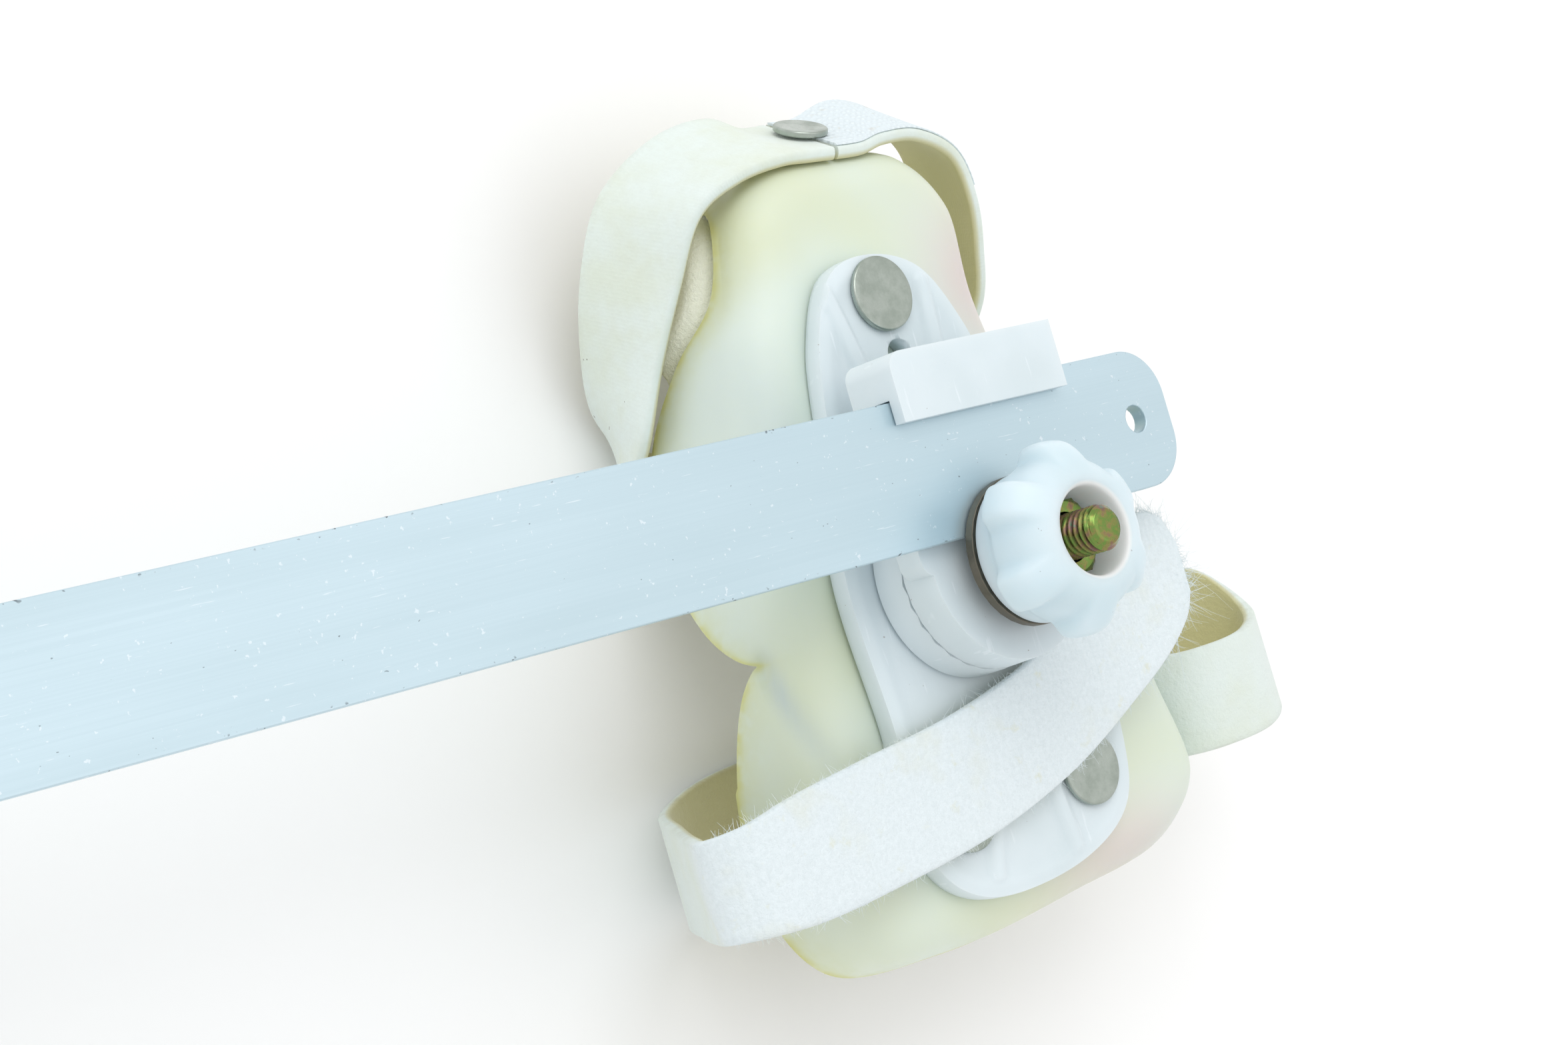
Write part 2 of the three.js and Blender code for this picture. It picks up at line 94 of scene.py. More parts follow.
def between(add, value, low, high, to_low=0.0, to_high=1.0):
    """The value's stretch from low to high, carried smoothly to the stretch from to_low to to_high."""
    inputs = {0: value, 1: low, 2: high, 3: to_low, 4: to_high}
    node = add("ShaderNodeMapRange", inputs, interpolation_type="SMOOTHSTEP")
    return node.outputs[0]


def combine(add, way, first, second):
    """One number from two, such as their sum or the larger one."""
    return add("ShaderNodeMath", {0: first, 1: second}, operation=way).outputs[0]


def times(add, first, second):
    """The product of two numbers."""
    return combine(add, "MULTIPLY", first, second)


def tint(add, share, first, second):
    """The first colour, with that share of the second in it."""
    node = add("ShaderNodeMix", {0: share, 6: first, 7: second}, data_type="RGBA", blend_type="MIX")
    return node.outputs[2]


def relief(add, height, distance, strength):
    """A bump whose full height is that distance in metres."""
    inputs = {"Height": height, "Distance": distance, "Strength": strength}
    return add("ShaderNodeBump", inputs).outputs["Normal"]


def into_scene(name, data):
    """An object that holds the data, linked to the scene."""
    item = bpy.data.objects.new(name, data)
    bpy.context.scene.collection.objects.link(item)
    return item


def edged_copy(node, name, width, segments):
    """A CAD node's own shape with its doubles merged, its flats joined and each sharp edge rounded."""
    mesh = bpy.data.meshes.new(name)
    work = bmesh.new()
    work.from_mesh(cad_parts[node].data)
    bmesh.ops.remove_doubles(work, verts=work.verts, dist=2e-6)
    flat = math.radians(FLAT_BELOW)
    bmesh.ops.dissolve_limit(work, angle_limit=flat, verts=work.verts, edges=work.edges)
    work.to_mesh(mesh)
    work.free()
    mesh.shade_smooth()
    mesh.set_sharp_from_angle(angle=math.radians(SHARP_ABOVE))
    piece = into_scene(name, mesh)
    bevel = piece.modifiers.new("edge", "BEVEL")
    bevel.width = width
    bevel.segments = segments
    bevel.limit_method = "ANGLE"
    bevel.angle_limit = math.radians(ROUND_ABOVE)
    bevel.harden_normals = True
    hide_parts(node)
    return piece


bar_finish, add, coat = new_finish("brushed_aluminium")
brushed = cloud(add, (12, 2800, 900), 4.0, 0.65)
patches = cloud(add, (9, 40, 40), 2.0)
scratch = cloud(add, (160, 2400, 300), 2.0, 0.5)
speck = cloud(add, (800, 1300, 800), 1.0)
spark = cloud(add, 900, 2.0)
where = add("ShaderNodeSeparateXYZ", {0: add("ShaderNodeTexCoord").outputs["Object"]})
from_middle = combine(add, "ABSOLUTE", combine(add, "SUBTRACT", where.outputs["Y"], BAR_MIDDLE_Y), 0.0)
at_edge = between(add, from_middle, BAR_HALF_WIDTH - 0.0009, BAR_HALF_WIDTH - 0.0001)
edge_nick = times(add, at_edge, between(add, speck, 0.685, 0.725))
face_nick = times(add, between(add, speck, 0.80, 0.815), 0.7)
nick = combine(add, "MAXIMUM", edge_nick, face_nick)
grey = tint(add, between(add, patches, 0.3, 0.7), BAR_GREY, BAR_DULL_GREY)
grey = tint(add, between(add, brushed, 0.35, 0.65, 0.0, 0.22), grey, BAR_DULL_GREY)
grey = tint(add, times(add, nick, 0.8), grey, BAR_NICK_GREY)
bright_line = times(add, between(add, scratch, 0.72, 0.77), 0.4)
grey = tint(add, bright_line, grey, BAR_BRIGHT)
# Painted glints: small specks of painted highlight in BAR_BRIGHT, scattered over the bar
glint = times(add, between(add, spark, 0.68, 0.73), 0.45)
grey = tint(add, glint, grey, BAR_BRIGHT)
lines = combine(add, "SUBTRACT", brushed, times(add, nick, 2.0))
coat({
    "Base Color": grey,
    "Metallic": 0.75,
    "Roughness": between(add, brushed, 0.2, 0.8, 0.40, 0.52),
    "Normal": relief(add, lines, 0.00002, 0.4),
})

bar = edged_copy("bar", "bar_strip", BAR_EDGE_BREAK, 2)
bar.data.materials.append(bar_finish)
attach(bar, "bar")


# The shell of each sandal is a cream thermoplastic sheet, 3 mm thick, drawn hot over a foot last and
# trimmed by hand: a flat sole, a round fold and a wall that flares to its rim, with a V notch at the
# instep on the inner side. A soft crease runs from the notch over the fold, and the rim has yellowed.
# Painted shade darkens the crease and a stretch of the fold on the inner side of the heel.

SCREW_X = 0.14
SCREW_Y = -0.013775
FLOOR_LIFT = 0.0002
SOLE_TOP = 46.0
SHELL_THICK = 3.0
SHELL_FOLD = 9.0
SHELL_FLARE = 2.0
SHELL_AROUND = 360
SHELL_CENTRE = np.array([5.0, 5.0])
# The notch's place, its least wall, how far its cut reaches and what the wall gains over that each way
NOTCH_Y = -6.2
NOTCH_DEPTH = 9.6
NOTCH_REACH = 20
NOTCH_HEEL_RISE = 19.5
NOTCH_TOE_RISE = 11.5
NOTCH_WALL = 30
CREASE_FROM = np.array([-36.0, -6.5, 36.5])
CREASE_TO = np.array([-33.5, -27.0, 44.0])
CREASE_HALF = 2.3
CREASE_DIP = 1.5
CREASE_PUSH = 1.2
ENDS = (("right", 1), ("left", -1))
# Plan of the shell from the middle of the heel round by the inner side: x, y and the wall's depth
SHELL_PLAN = np.array([
    (5, 79, 34), (-8, 77.8, 26), (-17.5, 70, 11), (-21.5, 57, 12), (-26, 47.5, 20), (-29.5, 34, 28),
    (-33, 13, 30), (-35, 2, 21), (-35.3, -6, 10.5), (-36.8, -13, 17), (-38, -28, 22), (-38, -47, 23),
    (-31.5, -60, 20), (-12, -63, 14), (18, -61.3, 12), (43, -58, 15), (54.5, -48, 22), (51.5, -28, 26),
    (46, -4, 27), (39, 24, 32), (34, 48, 37), (33.7, 66.5, 37), (24, 77.2, 36),
], float)
# Rings over the sole as shares of the way from its middle, and down the wall as shares of its depth
SOLE_RINGS = (0.02, 0.12, 0.25, 0.4, 0.55, 0.68, 0.8, 0.9, 0.96)
WALL_RINGS = (0.12, 0.25, 0.4, 0.55, 0.7, 0.82, 0.91, 0.97, 1.0)
# Pink stains on the shell, and the painted shade on its fold (FOLD_SHADE): x and y of the middle, and half
# width along x and y
HEEL_BLUSH = (31, 51, 12, 13)
TOE_BLUSH = (26, -56, 20, 8)
FOLD_SHADE = (-26, 35, 5, 18)
SHELL_CREAM = (0.685, 0.74, 0.545, 1)
SHELL_PALE = (0.705, 0.79, 0.71, 1)
SHELL_AGED = (0.62, 0.63, 0.28, 1)
SHELL_PINK = (0.70, 0.60, 0.585, 1)
SHELL_SHADE = (0.54, 0.63, 0.645, 1)


def smooth_line(stations, count, closed):
    """Centripetal Catmull-Rom curve: a cubic from each station to the next, whose end slopes weigh the
    neighbours by the square root of their spacing, read at count equal steps of its parameter."""
    points = np.asarray(stations, float)
    total = len(points)
    spans = total if closed else total - 1
    along = np.arange(count) / count * spans if closed else np.linspace(0, spans, count)
    start = np.minimum(along.astype(int), spans - 1)
    share = (along - start)[:, None]
    if closed:
        ring = np.vstack([points[-1:], points, points[:2]])
    else:
        ring = np.vstack([2 * points[0] - points[1], points, 2 * points[-1] - points[-2]])
    before, here, there, after = (ring[start + k] for k in range(4))
    first, middle, last = (
        np.maximum(np.linalg.norm(q - p, axis=1, keepdims=True) ** 0.5, 1e-2)
        for p, q in ((before, here), (here, there), (there, after))
    )
    leave = (here - before) / first - (there - before) / (first + middle) + (there - here) / middle
    arrive = (there - here) / middle - (after - here) / (middle + last) + (after - there) / last
    leave, arrive = leave * middle, arrive * middle
    square = -3 * here + 3 * there - 2 * leave - arrive
    cube = 2 * here - 2 * there + leave + arrive
    return here + leave * share + square * share ** 2 + cube * share ** 3


def unit(vectors):
    """Vectors of length one."""
    return vectors / np.maximum(np.linalg.norm(vectors, axis=-1, keepdims=True), 1e-9)


def way_in(ring):
    """Direction into a closed ring in the plan: the line between each point's two neighbours, made one
    long and turned a quarter to the left."""
    slope = unit(np.roll(ring, -1, axis=0) - np.roll(ring, 1, axis=0))
    return np.column_stack([-slope[:, 1], slope[:, 0]])


def grid_faces(rows, columns, wrap_rows=False, wrap_columns=False):
    """Four-cornered faces of a grid of points that is stored row by row."""
    row = np.arange(rows if wrap_rows else rows - 1)[:, None]
    column = np.arange(columns if wrap_columns else columns - 1)[None, :]
    next_row, next_column = (row + 1) % rows, (column + 1) % columns
    corners = [row * columns + column, row * columns + next_column,
               next_row * columns + next_column, next_row * columns + column]
    return np.stack([np.broadcast_to(c, (row.size, column.size)) for c in corners], -1).reshape(-1, 4)


def lay(name, points, faces, side, sharp, marks=None, spread=None):
    """A mesh object from points in millimetres on the clamp screw's frame of one end of the brace, where
    the left end is the mirror of the right one. Faces are turned so that the volume in them is positive.
    marks are colours on the points, and spread is their place on the flat strip in metres."""
    points = np.asarray(points, float).reshape(-1, 3)
    x, y, z = points.T / 1000
    world = np.column_stack([side * (SCREW_X + x), SCREW_Y + y, FLOOR_LIFT + z])
    fans = np.vstack([
        np.column_stack([f[:, 0], f[:, k], f[:, k + 1]]) for f in faces for k in range(1, f.shape[1] - 1)])
    a, b, c = (world[fans[:, k]] - world.mean(0) for k in range(3))
    if np.einsum("ij,ij->", a, np.cross(b, c)) < 0:
        faces = [f[:, ::-1] for f in faces]
    mesh = bpy.data.meshes.new(name)
    mesh.from_pydata(world.tolist(), [], [corner for f in faces for corner in f.tolist()])
    for key, values in (marks or {}).items():
        layer = mesh.attributes.new(key, "FLOAT_COLOR", "POINT")
        colour = np.ones((len(world), 4), np.float32)
        colour[:, :3] = np.asarray(values, np.float32).reshape(-1, 3)
        layer.data.foreach_set("color", colour.ravel())
    if spread is not None:
        corner = np.empty(len(mesh.loops), np.int32)
        mesh.loops.foreach_get("vertex_index", corner)
        layer = mesh.uv_layers.new(name="strip")
        layer.data.foreach_set("uv", np.asarray(spread, np.float32).reshape(-1, 2)[corner].ravel())
    mesh.shade_smooth()
    mesh.set_sharp_from_angle(angle=math.radians(sharp))
    return into_scene(name, mesh)


def ride_as(piece, material, slot, body, *nodes):
    """Gives a piece its material, lets it stand for its CAD nodes and carries it on its body; slot is not
    used.
    """
    piece.data.materials.append(material)
    if nodes:
        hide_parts(*nodes)
    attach(piece, body)


def at_height(spots, height):
    """Points over spots of the plan, at one height or a height each."""
    return np.column_stack([spots, np.broadcast_to(height, len(spots))])


def shell_plan():
    """Plan points, wall depths and inward directions. At the notch the wall is cut to a cusp: its depth
    there is the least depth plus a share of the square root of the way along from the cusp."""
    line = smooth_line(SHELL_PLAN, SHELL_AROUND, True)
    wall = line[:, 2].copy()
    beside = np.abs(line[:, 1] - NOTCH_Y)
    near = (line[:, 0] < 0) & (beside < NOTCH_REACH)
    rise = np.where(line[:, 1] > NOTCH_Y, NOTCH_HEEL_RISE, NOTCH_TOE_RISE)
    cusp = NOTCH_DEPTH + rise * np.sqrt(beside / NOTCH_REACH)
    wall[near] = np.minimum(NOTCH_WALL, cusp)[near]
    return line[:, :2], wall, way_in(line[:, :2])


def cup_face(inset, proud=0.0):
    """One face of the cup as rings from the middle of the sole to the rim. A ring is the plan moved
    inwards: over the sole by a share, over the fold on a quarter circle and on the wall by its flare.
    inset is the way in from the shell's outer face, and proud is what the wall has beyond its rim."""
    plan, wall, inward = shell_plan()
    plan = plan + inward * inset
    top = SOLE_TOP - inset
    fold = SHELL_FOLD - inset
    rings = []
    for share in SOLE_RINGS:
        flat = SHELL_CENTRE + (plan + inward * fold - SHELL_CENTRE) * share
        rings.append(at_height(flat, top))
    for angle in np.radians(np.arange(0, 91, 10)):
        across = plan + inward * fold * (1 - math.sin(angle))
        rings.append(at_height(across, top - fold * (1 - math.cos(angle))))
    low = SOLE_TOP - wall - proud
    start = top - fold
    for share in WALL_RINGS:
        across = plan - inward * (SHELL_FLARE * share * wall / SHELL_PLAN[0, 2])[:, None]
        rings.append(at_height(across, start + (low - start) * share))
    return np.array(rings)


def crease_share(points):
    """How far a point is in the crease: a bell across the crease's line, faded at its far end."""
    line = CREASE_TO - CREASE_FROM
    along = ((points - CREASE_FROM) @ line) / (line @ line)
    foot = CREASE_FROM + np.clip(along, 0, 1)[..., None] * line
    away = np.linalg.norm(points - foot, axis=-1)
    return np.exp(-(away / CREASE_HALF) ** 2) * np.clip(1.25 - along, 0, 1)


def hand_formed(points):
    """The slow waves that a sheet keeps when it is drawn by hand, two sines over the sole and one along
    the wall, and the crease from the notch, which dips the sole and pushes the wall in."""
    x, y, z = (points[..., k] for k in range(3))
    crease = crease_share(points)
    sole_wave = 0.35 * np.sin(0.085 * y + 0.06 * x) + 0.25 * np.sin(0.13 * x - 0.05 * y + 1.7)
    wall_wave = 0.5 * np.sin(0.11 * y + 0.9)
    moved = points.copy()
    moved[..., 2] += sole_wave * np.clip((z - 8) / 30, 0, 1) * 0.5 - CREASE_DIP * crease
    moved[..., 0] += wall_wave * np.clip((40 - z) / 30, 0, 1) + CREASE_PUSH * crease
    return moved


def closed_cup(outer, inner):
    """Outer face, rounded rim and inner face as one skin, with a point in the middle of each sole."""
    rim = [outer[-1] * (1 - k) + inner[-1] * k for k in (0.12, 0.5, 0.88)]
    rim = [r + [0, 0, drop] for r, drop in zip(rim, (-0.28, -0.45, -0.28))]
    rings = np.concatenate([outer, np.array(rim), inner[::-1]])
    rows, columns = rings.shape[:2]
    points = np.vstack([rings.reshape(-1, 3), outer[0].mean(0), inner[0].mean(0)])
    step = np.arange(columns)
    after = (step + 1) % columns
    middle = np.full(columns, rows * columns)
    end_row = (rows - 1) * columns
    caps = np.vstack([
        np.column_stack([middle, after, step]),
        np.column_stack([middle + 1, end_row + step, end_row + after])])
    return points, [grid_faces(rows, columns, wrap_columns=True), caps], rows


def plan_bell(x, y, middle_x, middle_y, half_x, half_y):
    """A bell over the plan round a middle, with its own half width along x and y."""
    return np.exp(-(((x - middle_x) / half_x) ** 2 + ((y - middle_y) / half_y) ** 2))


def painted(add, name):
    """The three shares, Red, Green and Blue, that a piece carries on its points under that name."""
    colour = add("ShaderNodeAttribute", attribute_name=name).outputs["Color"]
    return add("ShaderNodeSeparateColor", {0: colour}).outputs


shell_finish, add, coat = new_finish("cream_thermoplastic")
marks = painted(add, "tint_shares")
soft = cloud(add, 16, 2.0)
fine = cloud(add, 260, 2.0)
cream = tint(add, between(add, soft, 0.38, 0.66), SHELL_CREAM, SHELL_PALE)
cream = tint(add, times(add, marks["Green"], 0.9), cream, SHELL_PINK)
# Painted shade: the blue share darkens the crease and the fold toward SHELL_SHADE
cream = tint(add, times(add, marks["Blue"], 0.8), cream, SHELL_SHADE)
aged = times(add, marks["Red"], between(add, fine, 0.25, 0.6, 0.45, 1.0))
coat({
    "Base Color": tint(add, aged, cream, SHELL_AGED),
    "Roughness": between(add, fine, 0.3, 0.7, 0.40, 0.52),
    "Subsurface Weight": 0.18,
    "Subsurface Radius": (1.0, 0.85, 0.5),
    "Subsurface Scale": 0.004,
    "Normal": relief(add, fine, 0.00012, 0.35),
})

for end, side in ENDS:
    outer = hand_formed(cup_face(0.0))
    inner = hand_formed(cup_face(SHELL_THICK))
    points, faces, rows = closed_cup(outer, inner)
    x, y, z = points.T
    from_rim = z - np.append(np.tile(outer[-1, :, 2], rows), [0, 0])
    rim_age = 0.75 * np.exp(-(from_rim / 1.3) ** 2) + 0.35 * np.exp(-(from_rim / 6) ** 2)
    pink = plan_bell(x, y, *HEEL_BLUSH) * np.clip((z - 20) / 20, 0, 1) + 0.8 * plan_bell(x, y, *TOE_BLUSH)
    # The blue share is painted shade, along the crease's line and over a stretch of the fold
    shade = np.maximum(crease_share(points), 0.5 * plan_bell(x, y, *FOLD_SHADE))
    tint_shares = np.column_stack([np.clip(rim_age, 0, 1), np.clip(pink, 0, 1), shade])
    shell = lay(f"shell_skin_{end}", points, faces, side, 60, {"tint_shares": tint_shares})
    ride_as(shell, shell_finish, "shell_plastic", f"sandal_{end}", f"shell_{end}")


# The liner is a pale needled felt pad, cut to the shell and glued inside it. Its edge stands a little
# proud of the shell's rim, where it is fuzzy and stained yellow by glue and wear.

LINER_THICK = 3.0
LINER_GAP = 3.35
LINER_PROUD = 0.9
# At the inner side of the heel the felt stands further out and is turned over the rim as a lip: the
# lip's middle and half length, how far it stands and turns out, and where and how fast it turns
LIP_Y = 60
LIP_HALF = 14
LIP_PROUD = 6.0
LIP_OUT = 6.2
LIP_START = 0.3
LIP_TURN = 3.6
LINER_WHITE = (0.94, 0.96, 0.83, 1)
LINER_STAIN = (0.70, 0.65, 0.30, 1)
LINER_FIBRE = (0.55, 0.53, 0.38, 1)


def full_turn(count):
    """That many equal angles round a full turn, in radians."""
    return np.linspace(0, 2 * math.pi, count, endpoint=False)


liner_finish, add, coat = new_finish("pale_felt")
marks = painted(add, "tint_shares")
fibre = cloud(add, 1500, 3.0, 0.7)
lumps = cloud(add, 140, 2.0)
stained = times(add, marks["Red"], between(add, lumps, 0.35, 0.65))
felt = tint(add, stained, LINER_WHITE, LINER_STAIN)
coat({
    "Base Color": tint(add, between(add, fibre, 0.3, 0.7, 0.0, 0.09), felt, LINER_FIBRE),
    "Roughness": 0.95,
    "Sheen Weight": 0.25,
    "Sheen Roughness": 0.6,
    "Normal": relief(add, combine(add, "ADD", fibre, lumps), 0.0006, 0.7),
})

for end, side in ENDS:
    plan, wall, inward = shell_plan()
    at_lip = np.exp(-(((plan[:, 1] - LIP_Y) / LIP_HALF) ** 4)) * (plan[:, 0] < 0)
    proud = LINER_PROUD + LIP_PROUD * at_lip
    outer = hand_formed(cup_face(LINER_GAP, proud))
    inner = hand_formed(cup_face(LINER_GAP + LINER_THICK, proud))
    for face in (outer, inner):
        below = np.clip((SOLE_TOP - wall - LIP_START - face[..., 2]) / LIP_TURN, 0, 1)
        lip = LIP_OUT * at_lip * below ** 2 * (3 - 2 * below)
        face[..., :2] -= lip[..., None] * inward
    around = full_turn(SHELL_AROUND)
    ragged = 0.22 * np.sin(41 * around) + 0.18 * np.sin(67 * around + 1) + 0.15 * np.sin(113 * around + 2)
    outer[-1, :, 2] += ragged
    inner[-1, :, 2] += ragged
    points, faces, rows = closed_cup(outer, inner)
    from_rim = np.abs(np.repeat(np.arange(rows), SHELL_AROUND) - (rows - 1) / 2)
    stain = np.append(np.exp(-(from_rim / 2.4) ** 2), [0, 0])
    tint_shares = np.column_stack([stain, stain, stain])
    liner = lay(f"felt_liner_{end}", points, faces, side, 60, {"tint_shares": tint_shares})
    ride_as(liner, liner_finish, "liner_felt", f"sandal_{end}", f"liner_{end}")


# The sole plate is a white moulding that the shell is riveted to: a soft raised edge all round, and two
# low ridges from the hub to each end that stiffen it. The clamp screw's head sits in it from above.

PLATE_BOTTOM = SOLE_TOP + 0.3
PLATE_TOP = PLATE_BOTTOM + 4
PLATE_AROUND = 320
PLATE_CENTRE = np.array([2.0, 0.0])
PLATE_PLAN = np.array([
    (2.5, 58), (-7.8, 55.8), (-15, 44.5), (-19, 28), (-24.5, 4), (-23.5, -22), (-23, -47), (-14, -55),
    (12, -55), (26, -48), (30, -34), (29, 0), (24, 28), (20, 43.5), (13.2, 54.4),
], float)
# The plate's underside and side, from inside its edge to its top: way in from the edge, and height
PLATE_SIDE = ((6.0, PLATE_BOTTOM), (0.5, PLATE_BOTTOM), (0.1, PLATE_BOTTOM + 0.35),
              (0.0, PLATE_BOTTOM + 1.4), (0.0, PLATE_TOP - 0.6), (0.12, PLATE_TOP + 0.1))
# Rings over the plate's face: ways in from the edge as far as it is raised, and further in, from the
# line that is FACE_IN from the edge, shares of the way out from the middle
EDGE_RINGS = (0.55, 0.95, 1.4, 1.9, 2.4, 2.9, 3.4, 4.0, 4.8)
FACE_IN = 5.2
FACE_RINGS = np.linspace(0.9, 0.01, 46)
EDGE_HEIGHT = 0.45
EDGE_MIDDLE = 2.2
EDGE_HALF = 1.7
RIDGE_HEIGHT = 1.0
RIDGE_HALF = 1.8
# Each ridge from its end at the hub to its end at the plate's edge: x, y and x, y
PLATE_RIDGES = (
    (-4.5, 27, -10.6, 52.5), (11.2, 27, 12.6, 51.5), (7.0, -26, 10.4, -52), (-2.0, -26, -9.8, -52))
# A small through hole on the heel side, and the seat of the screw's head: x, y, radius and floor
PLATE_HOLES = (("lace", 3.0, 39.4, 2.9, PLATE_BOTTOM - 2), ("head", 0.0, 0.0, 9.3, PLATE_TOP - 2.6))
TOOL_AROUND = 40
TOOL_TOP = PLATE_TOP + 3
PLATE_WHITE = (0.715, 0.795, 0.83, 1)
PLATE_DIM = (0.66, 0.745, 0.775, 1)
PLATE_SCUFF = (0.80, 0.87, 0.91, 1)
PLATE_SPECK = (0.3, 0.27, 0.24, 1)


def plate_height(spots, inside):
    """Height over the plate's face: a bell along the edge and a flat-topped bell across each ridge's
    line, whichever is higher. inside is the way in from the edge."""
    height = EDGE_HEIGHT * np.exp(-((inside - EDGE_MIDDLE) / EDGE_HALF) ** 2)
    for x0, y0, x1, y1 in PLATE_RIDGES:
        line = np.array([x1 - x0, y1 - y0])
        along = ((spots - [x0, y0]) @ line) / (line @ line)
        away = np.linalg.norm(spots - ([x0, y0] + np.clip(along, 0, 1)[..., None] * line), axis=-1)
        height = np.maximum(height, RIDGE_HEIGHT * np.exp(-(away / RIDGE_HALF) ** 4))
    return height


def plate_rings():
    """The plate's skin as closed rings: from the middle of its underside out to the edge line, up its
    side, then in over its face, by steps over the raised edge and by shares from there to the middle."""
    edge = smooth_line(PLATE_PLAN, PLATE_AROUND, True)
    inward = way_in(edge)
    rings = [at_height(PLATE_CENTRE + (edge - PLATE_CENTRE) * FACE_RINGS[-1], PLATE_BOTTOM)]
    for inset, level in PLATE_SIDE:
        rings.append(at_height(edge + inward * inset, level))
    for inside in EDGE_RINGS:
        spots = edge + inward * inside
        rings.append(at_height(spots, PLATE_TOP + plate_height(spots, inside)))
    for share in FACE_RINGS:
        spots = PLATE_CENTRE + (edge + inward * FACE_IN - PLATE_CENTRE) * share / FACE_RINGS[0]
        inside = FACE_IN + (1 - share) * 30
        rings.append(at_height(spots, PLATE_TOP + plate_height(spots, inside)))
    return np.array(rings)


def turned_solid(rows, around, swell=None):
    """A profile of radius and height carried round the Z axis. swell is added to the radius as far as
    its row's third number lets it."""
    rows = np.asarray(rows, float)
    angle = full_turn(around)
    radius = rows[:, :1] + (0 if swell is None else rows[:, 2:3] * swell(angle)[None, :])
    radius = np.broadcast_to(radius, (len(rows), around))
    height = np.broadcast_to(rows[:, 1:2], radius.shape)
    return np.stack([radius * np.cos(angle), radius * np.sin(angle), height], -1)


def closed_rings(rows, columns):
    """Faces of a grid whose rows are closed rings, with one flat face on the first ring and the last."""
    ring = np.arange(columns)
    ends = [ring[None, ::-1], (ring + (rows - 1) * columns)[None, :]]
    return [grid_faces(rows, columns, wrap_columns=True), *ends]


def hole_tool(name, x, y, radius, floor, side):
    """A plain round bar along Z, from a hole's floor to above the plate."""
    points = turned_solid([(radius, floor), (radius, TOOL_TOP)], TOOL_AROUND) + [x, y, 0]
    return lay(name, points, closed_rings(2, TOOL_AROUND), side, 60)


def drill(piece, cutters):
    """Cuts closed tool shapes out of a piece, for good, and throws the tools away."""
    for tool in cutters:
        cut = piece.modifiers.new("hole", "BOOLEAN")
        cut.object = tool
        cut.operation = "DIFFERENCE"
        cut.solver = "EXACT"
    whole = piece.evaluated_get(bpy.context.evaluated_depsgraph_get())
    mesh = bpy.data.meshes.new_from_object(whole)
    piece.modifiers.clear()
    old, piece.data = piece.data, mesh
    mesh.name = old.name
    bpy.data.meshes.remove(old)
    for tool in cutters:
        bpy.data.objects.remove(tool)


white_finish, add, coat = new_finish("milky_white_moulding")
soft = cloud(add, 45, 2.0)
fine = cloud(add, 420, 3.0)
scuff = cloud(add, (700, 90, 240), 2.0, 0.5)
speck = cloud(add, 1300, 1.0)
white = tint(add, between(add, soft, 0.35, 0.7), PLATE_WHITE, PLATE_DIM)
white = tint(add, between(add, scuff, 0.66, 0.72, 0.0, 0.6), white, PLATE_SCUFF)
height = combine(add, "ADD", fine, times(add, scuff, 0.6))
coat({
    "Base Color": tint(add, between(add, speck, 0.80, 0.81, 0.0, 0.6), white, PLATE_SPECK),
    "Roughness": between(add, fine, 0.3, 0.7, 0.34, 0.50),
    "Subsurface Weight": 0.25,
    "Subsurface Radius": (1.0, 1.0, 1.0),
    "Subsurface Scale": 0.003,
    "Normal": relief(add, height, 0.00012, 0.4),
})

for end, side in ENDS:
    rings = plate_rings()
    plate = lay(f"sole_plate_{end}_moulded", rings, closed_rings(len(rings), PLATE_AROUND), side, 50)
    drill(plate, [hole_tool(f"{name}_tool", *sizes, side) for name, *sizes in PLATE_HOLES])
    ride_as(plate, white_finish, "white_plastic", f"sandal_{end}", f"sole_plate_{end}")


# The flat rivets are nickel plated steel: three hold the plate to the shell, and each strap has one
# with a smaller head. The heads are rolled flat, with a bright rounded edge and faint wear.

RIVET_RADIUS = 6.8
RIVET_THICK = 1.1
RIVET_LOW = PLATE_TOP + 0.3
RIVET_RIM = 0.36
RIVET_DIP = 0.07
RIVET_AROUND = 72
PLATE_RIVETS = (("heel", 2.0, 50.5), ("toe_outer", 18.5, -40.0), ("toe_inner", -13.5, -40.3))
STRAP_RIVET_RADIUS = 5.0
STRAP_RIVET_THICK = 1.2
STRAP_RIVET_STANDS = 1.8
# Seat of each strap's rivet in the middle of the strap, and the way out of the strap's face there
STRAP_SEATS = (
    ("heel", (7.0, 82.55, 36.5), (0.0, 0.8642, 0.5032)),
    ("forefoot", (56.5, -35.0, 29.0), (0.9929, 0.1191, 0.0)))
NICKEL_BRIGHT = (0.44, 0.485, 0.44, 1)
NICKEL_DULL = (0.34, 0.385, 0.34, 1)


def rivet_head(radius, thick):
    """A flat head: a disc whose rim is a quarter circle and whose face dips a little in the middle."""
    bend = np.radians(np.linspace(0, 90, 7))
    low, high = radius - RIVET_RIM, thick - RIVET_RIM
    rows = [(radius - 0.25, 0.0), (radius, 0.22)]
    rows += [(low + RIVET_RIM * math.cos(a), high + RIVET_RIM * math.sin(a)) for a in bend]
    rows += [(radius * share, thick - RIVET_DIP * (1 - share ** 2)) for share in (0.8, 0.55, 0.3, 0.1)]
    return turned_solid(rows, RIVET_AROUND), closed_rings(len(rows), RIVET_AROUND)


nickel_finish, add, coat = new_finish("nickel_plate")
patina = cloud(add, 260, 4.0, 0.65)
rub = cloud(add, (900, 120, 900), 2.0)
coat({
    "Base Color": tint(add, between(add, patina, 0.3, 0.7), NICKEL_BRIGHT, NICKEL_DULL),
    "Metallic": 1.0,
    "Roughness": between(add, patina, 0.3, 0.7, 0.26, 0.42),
    "Normal": relief(add, combine(add, "ADD", rub, patina), 0.00003, 0.5),
})

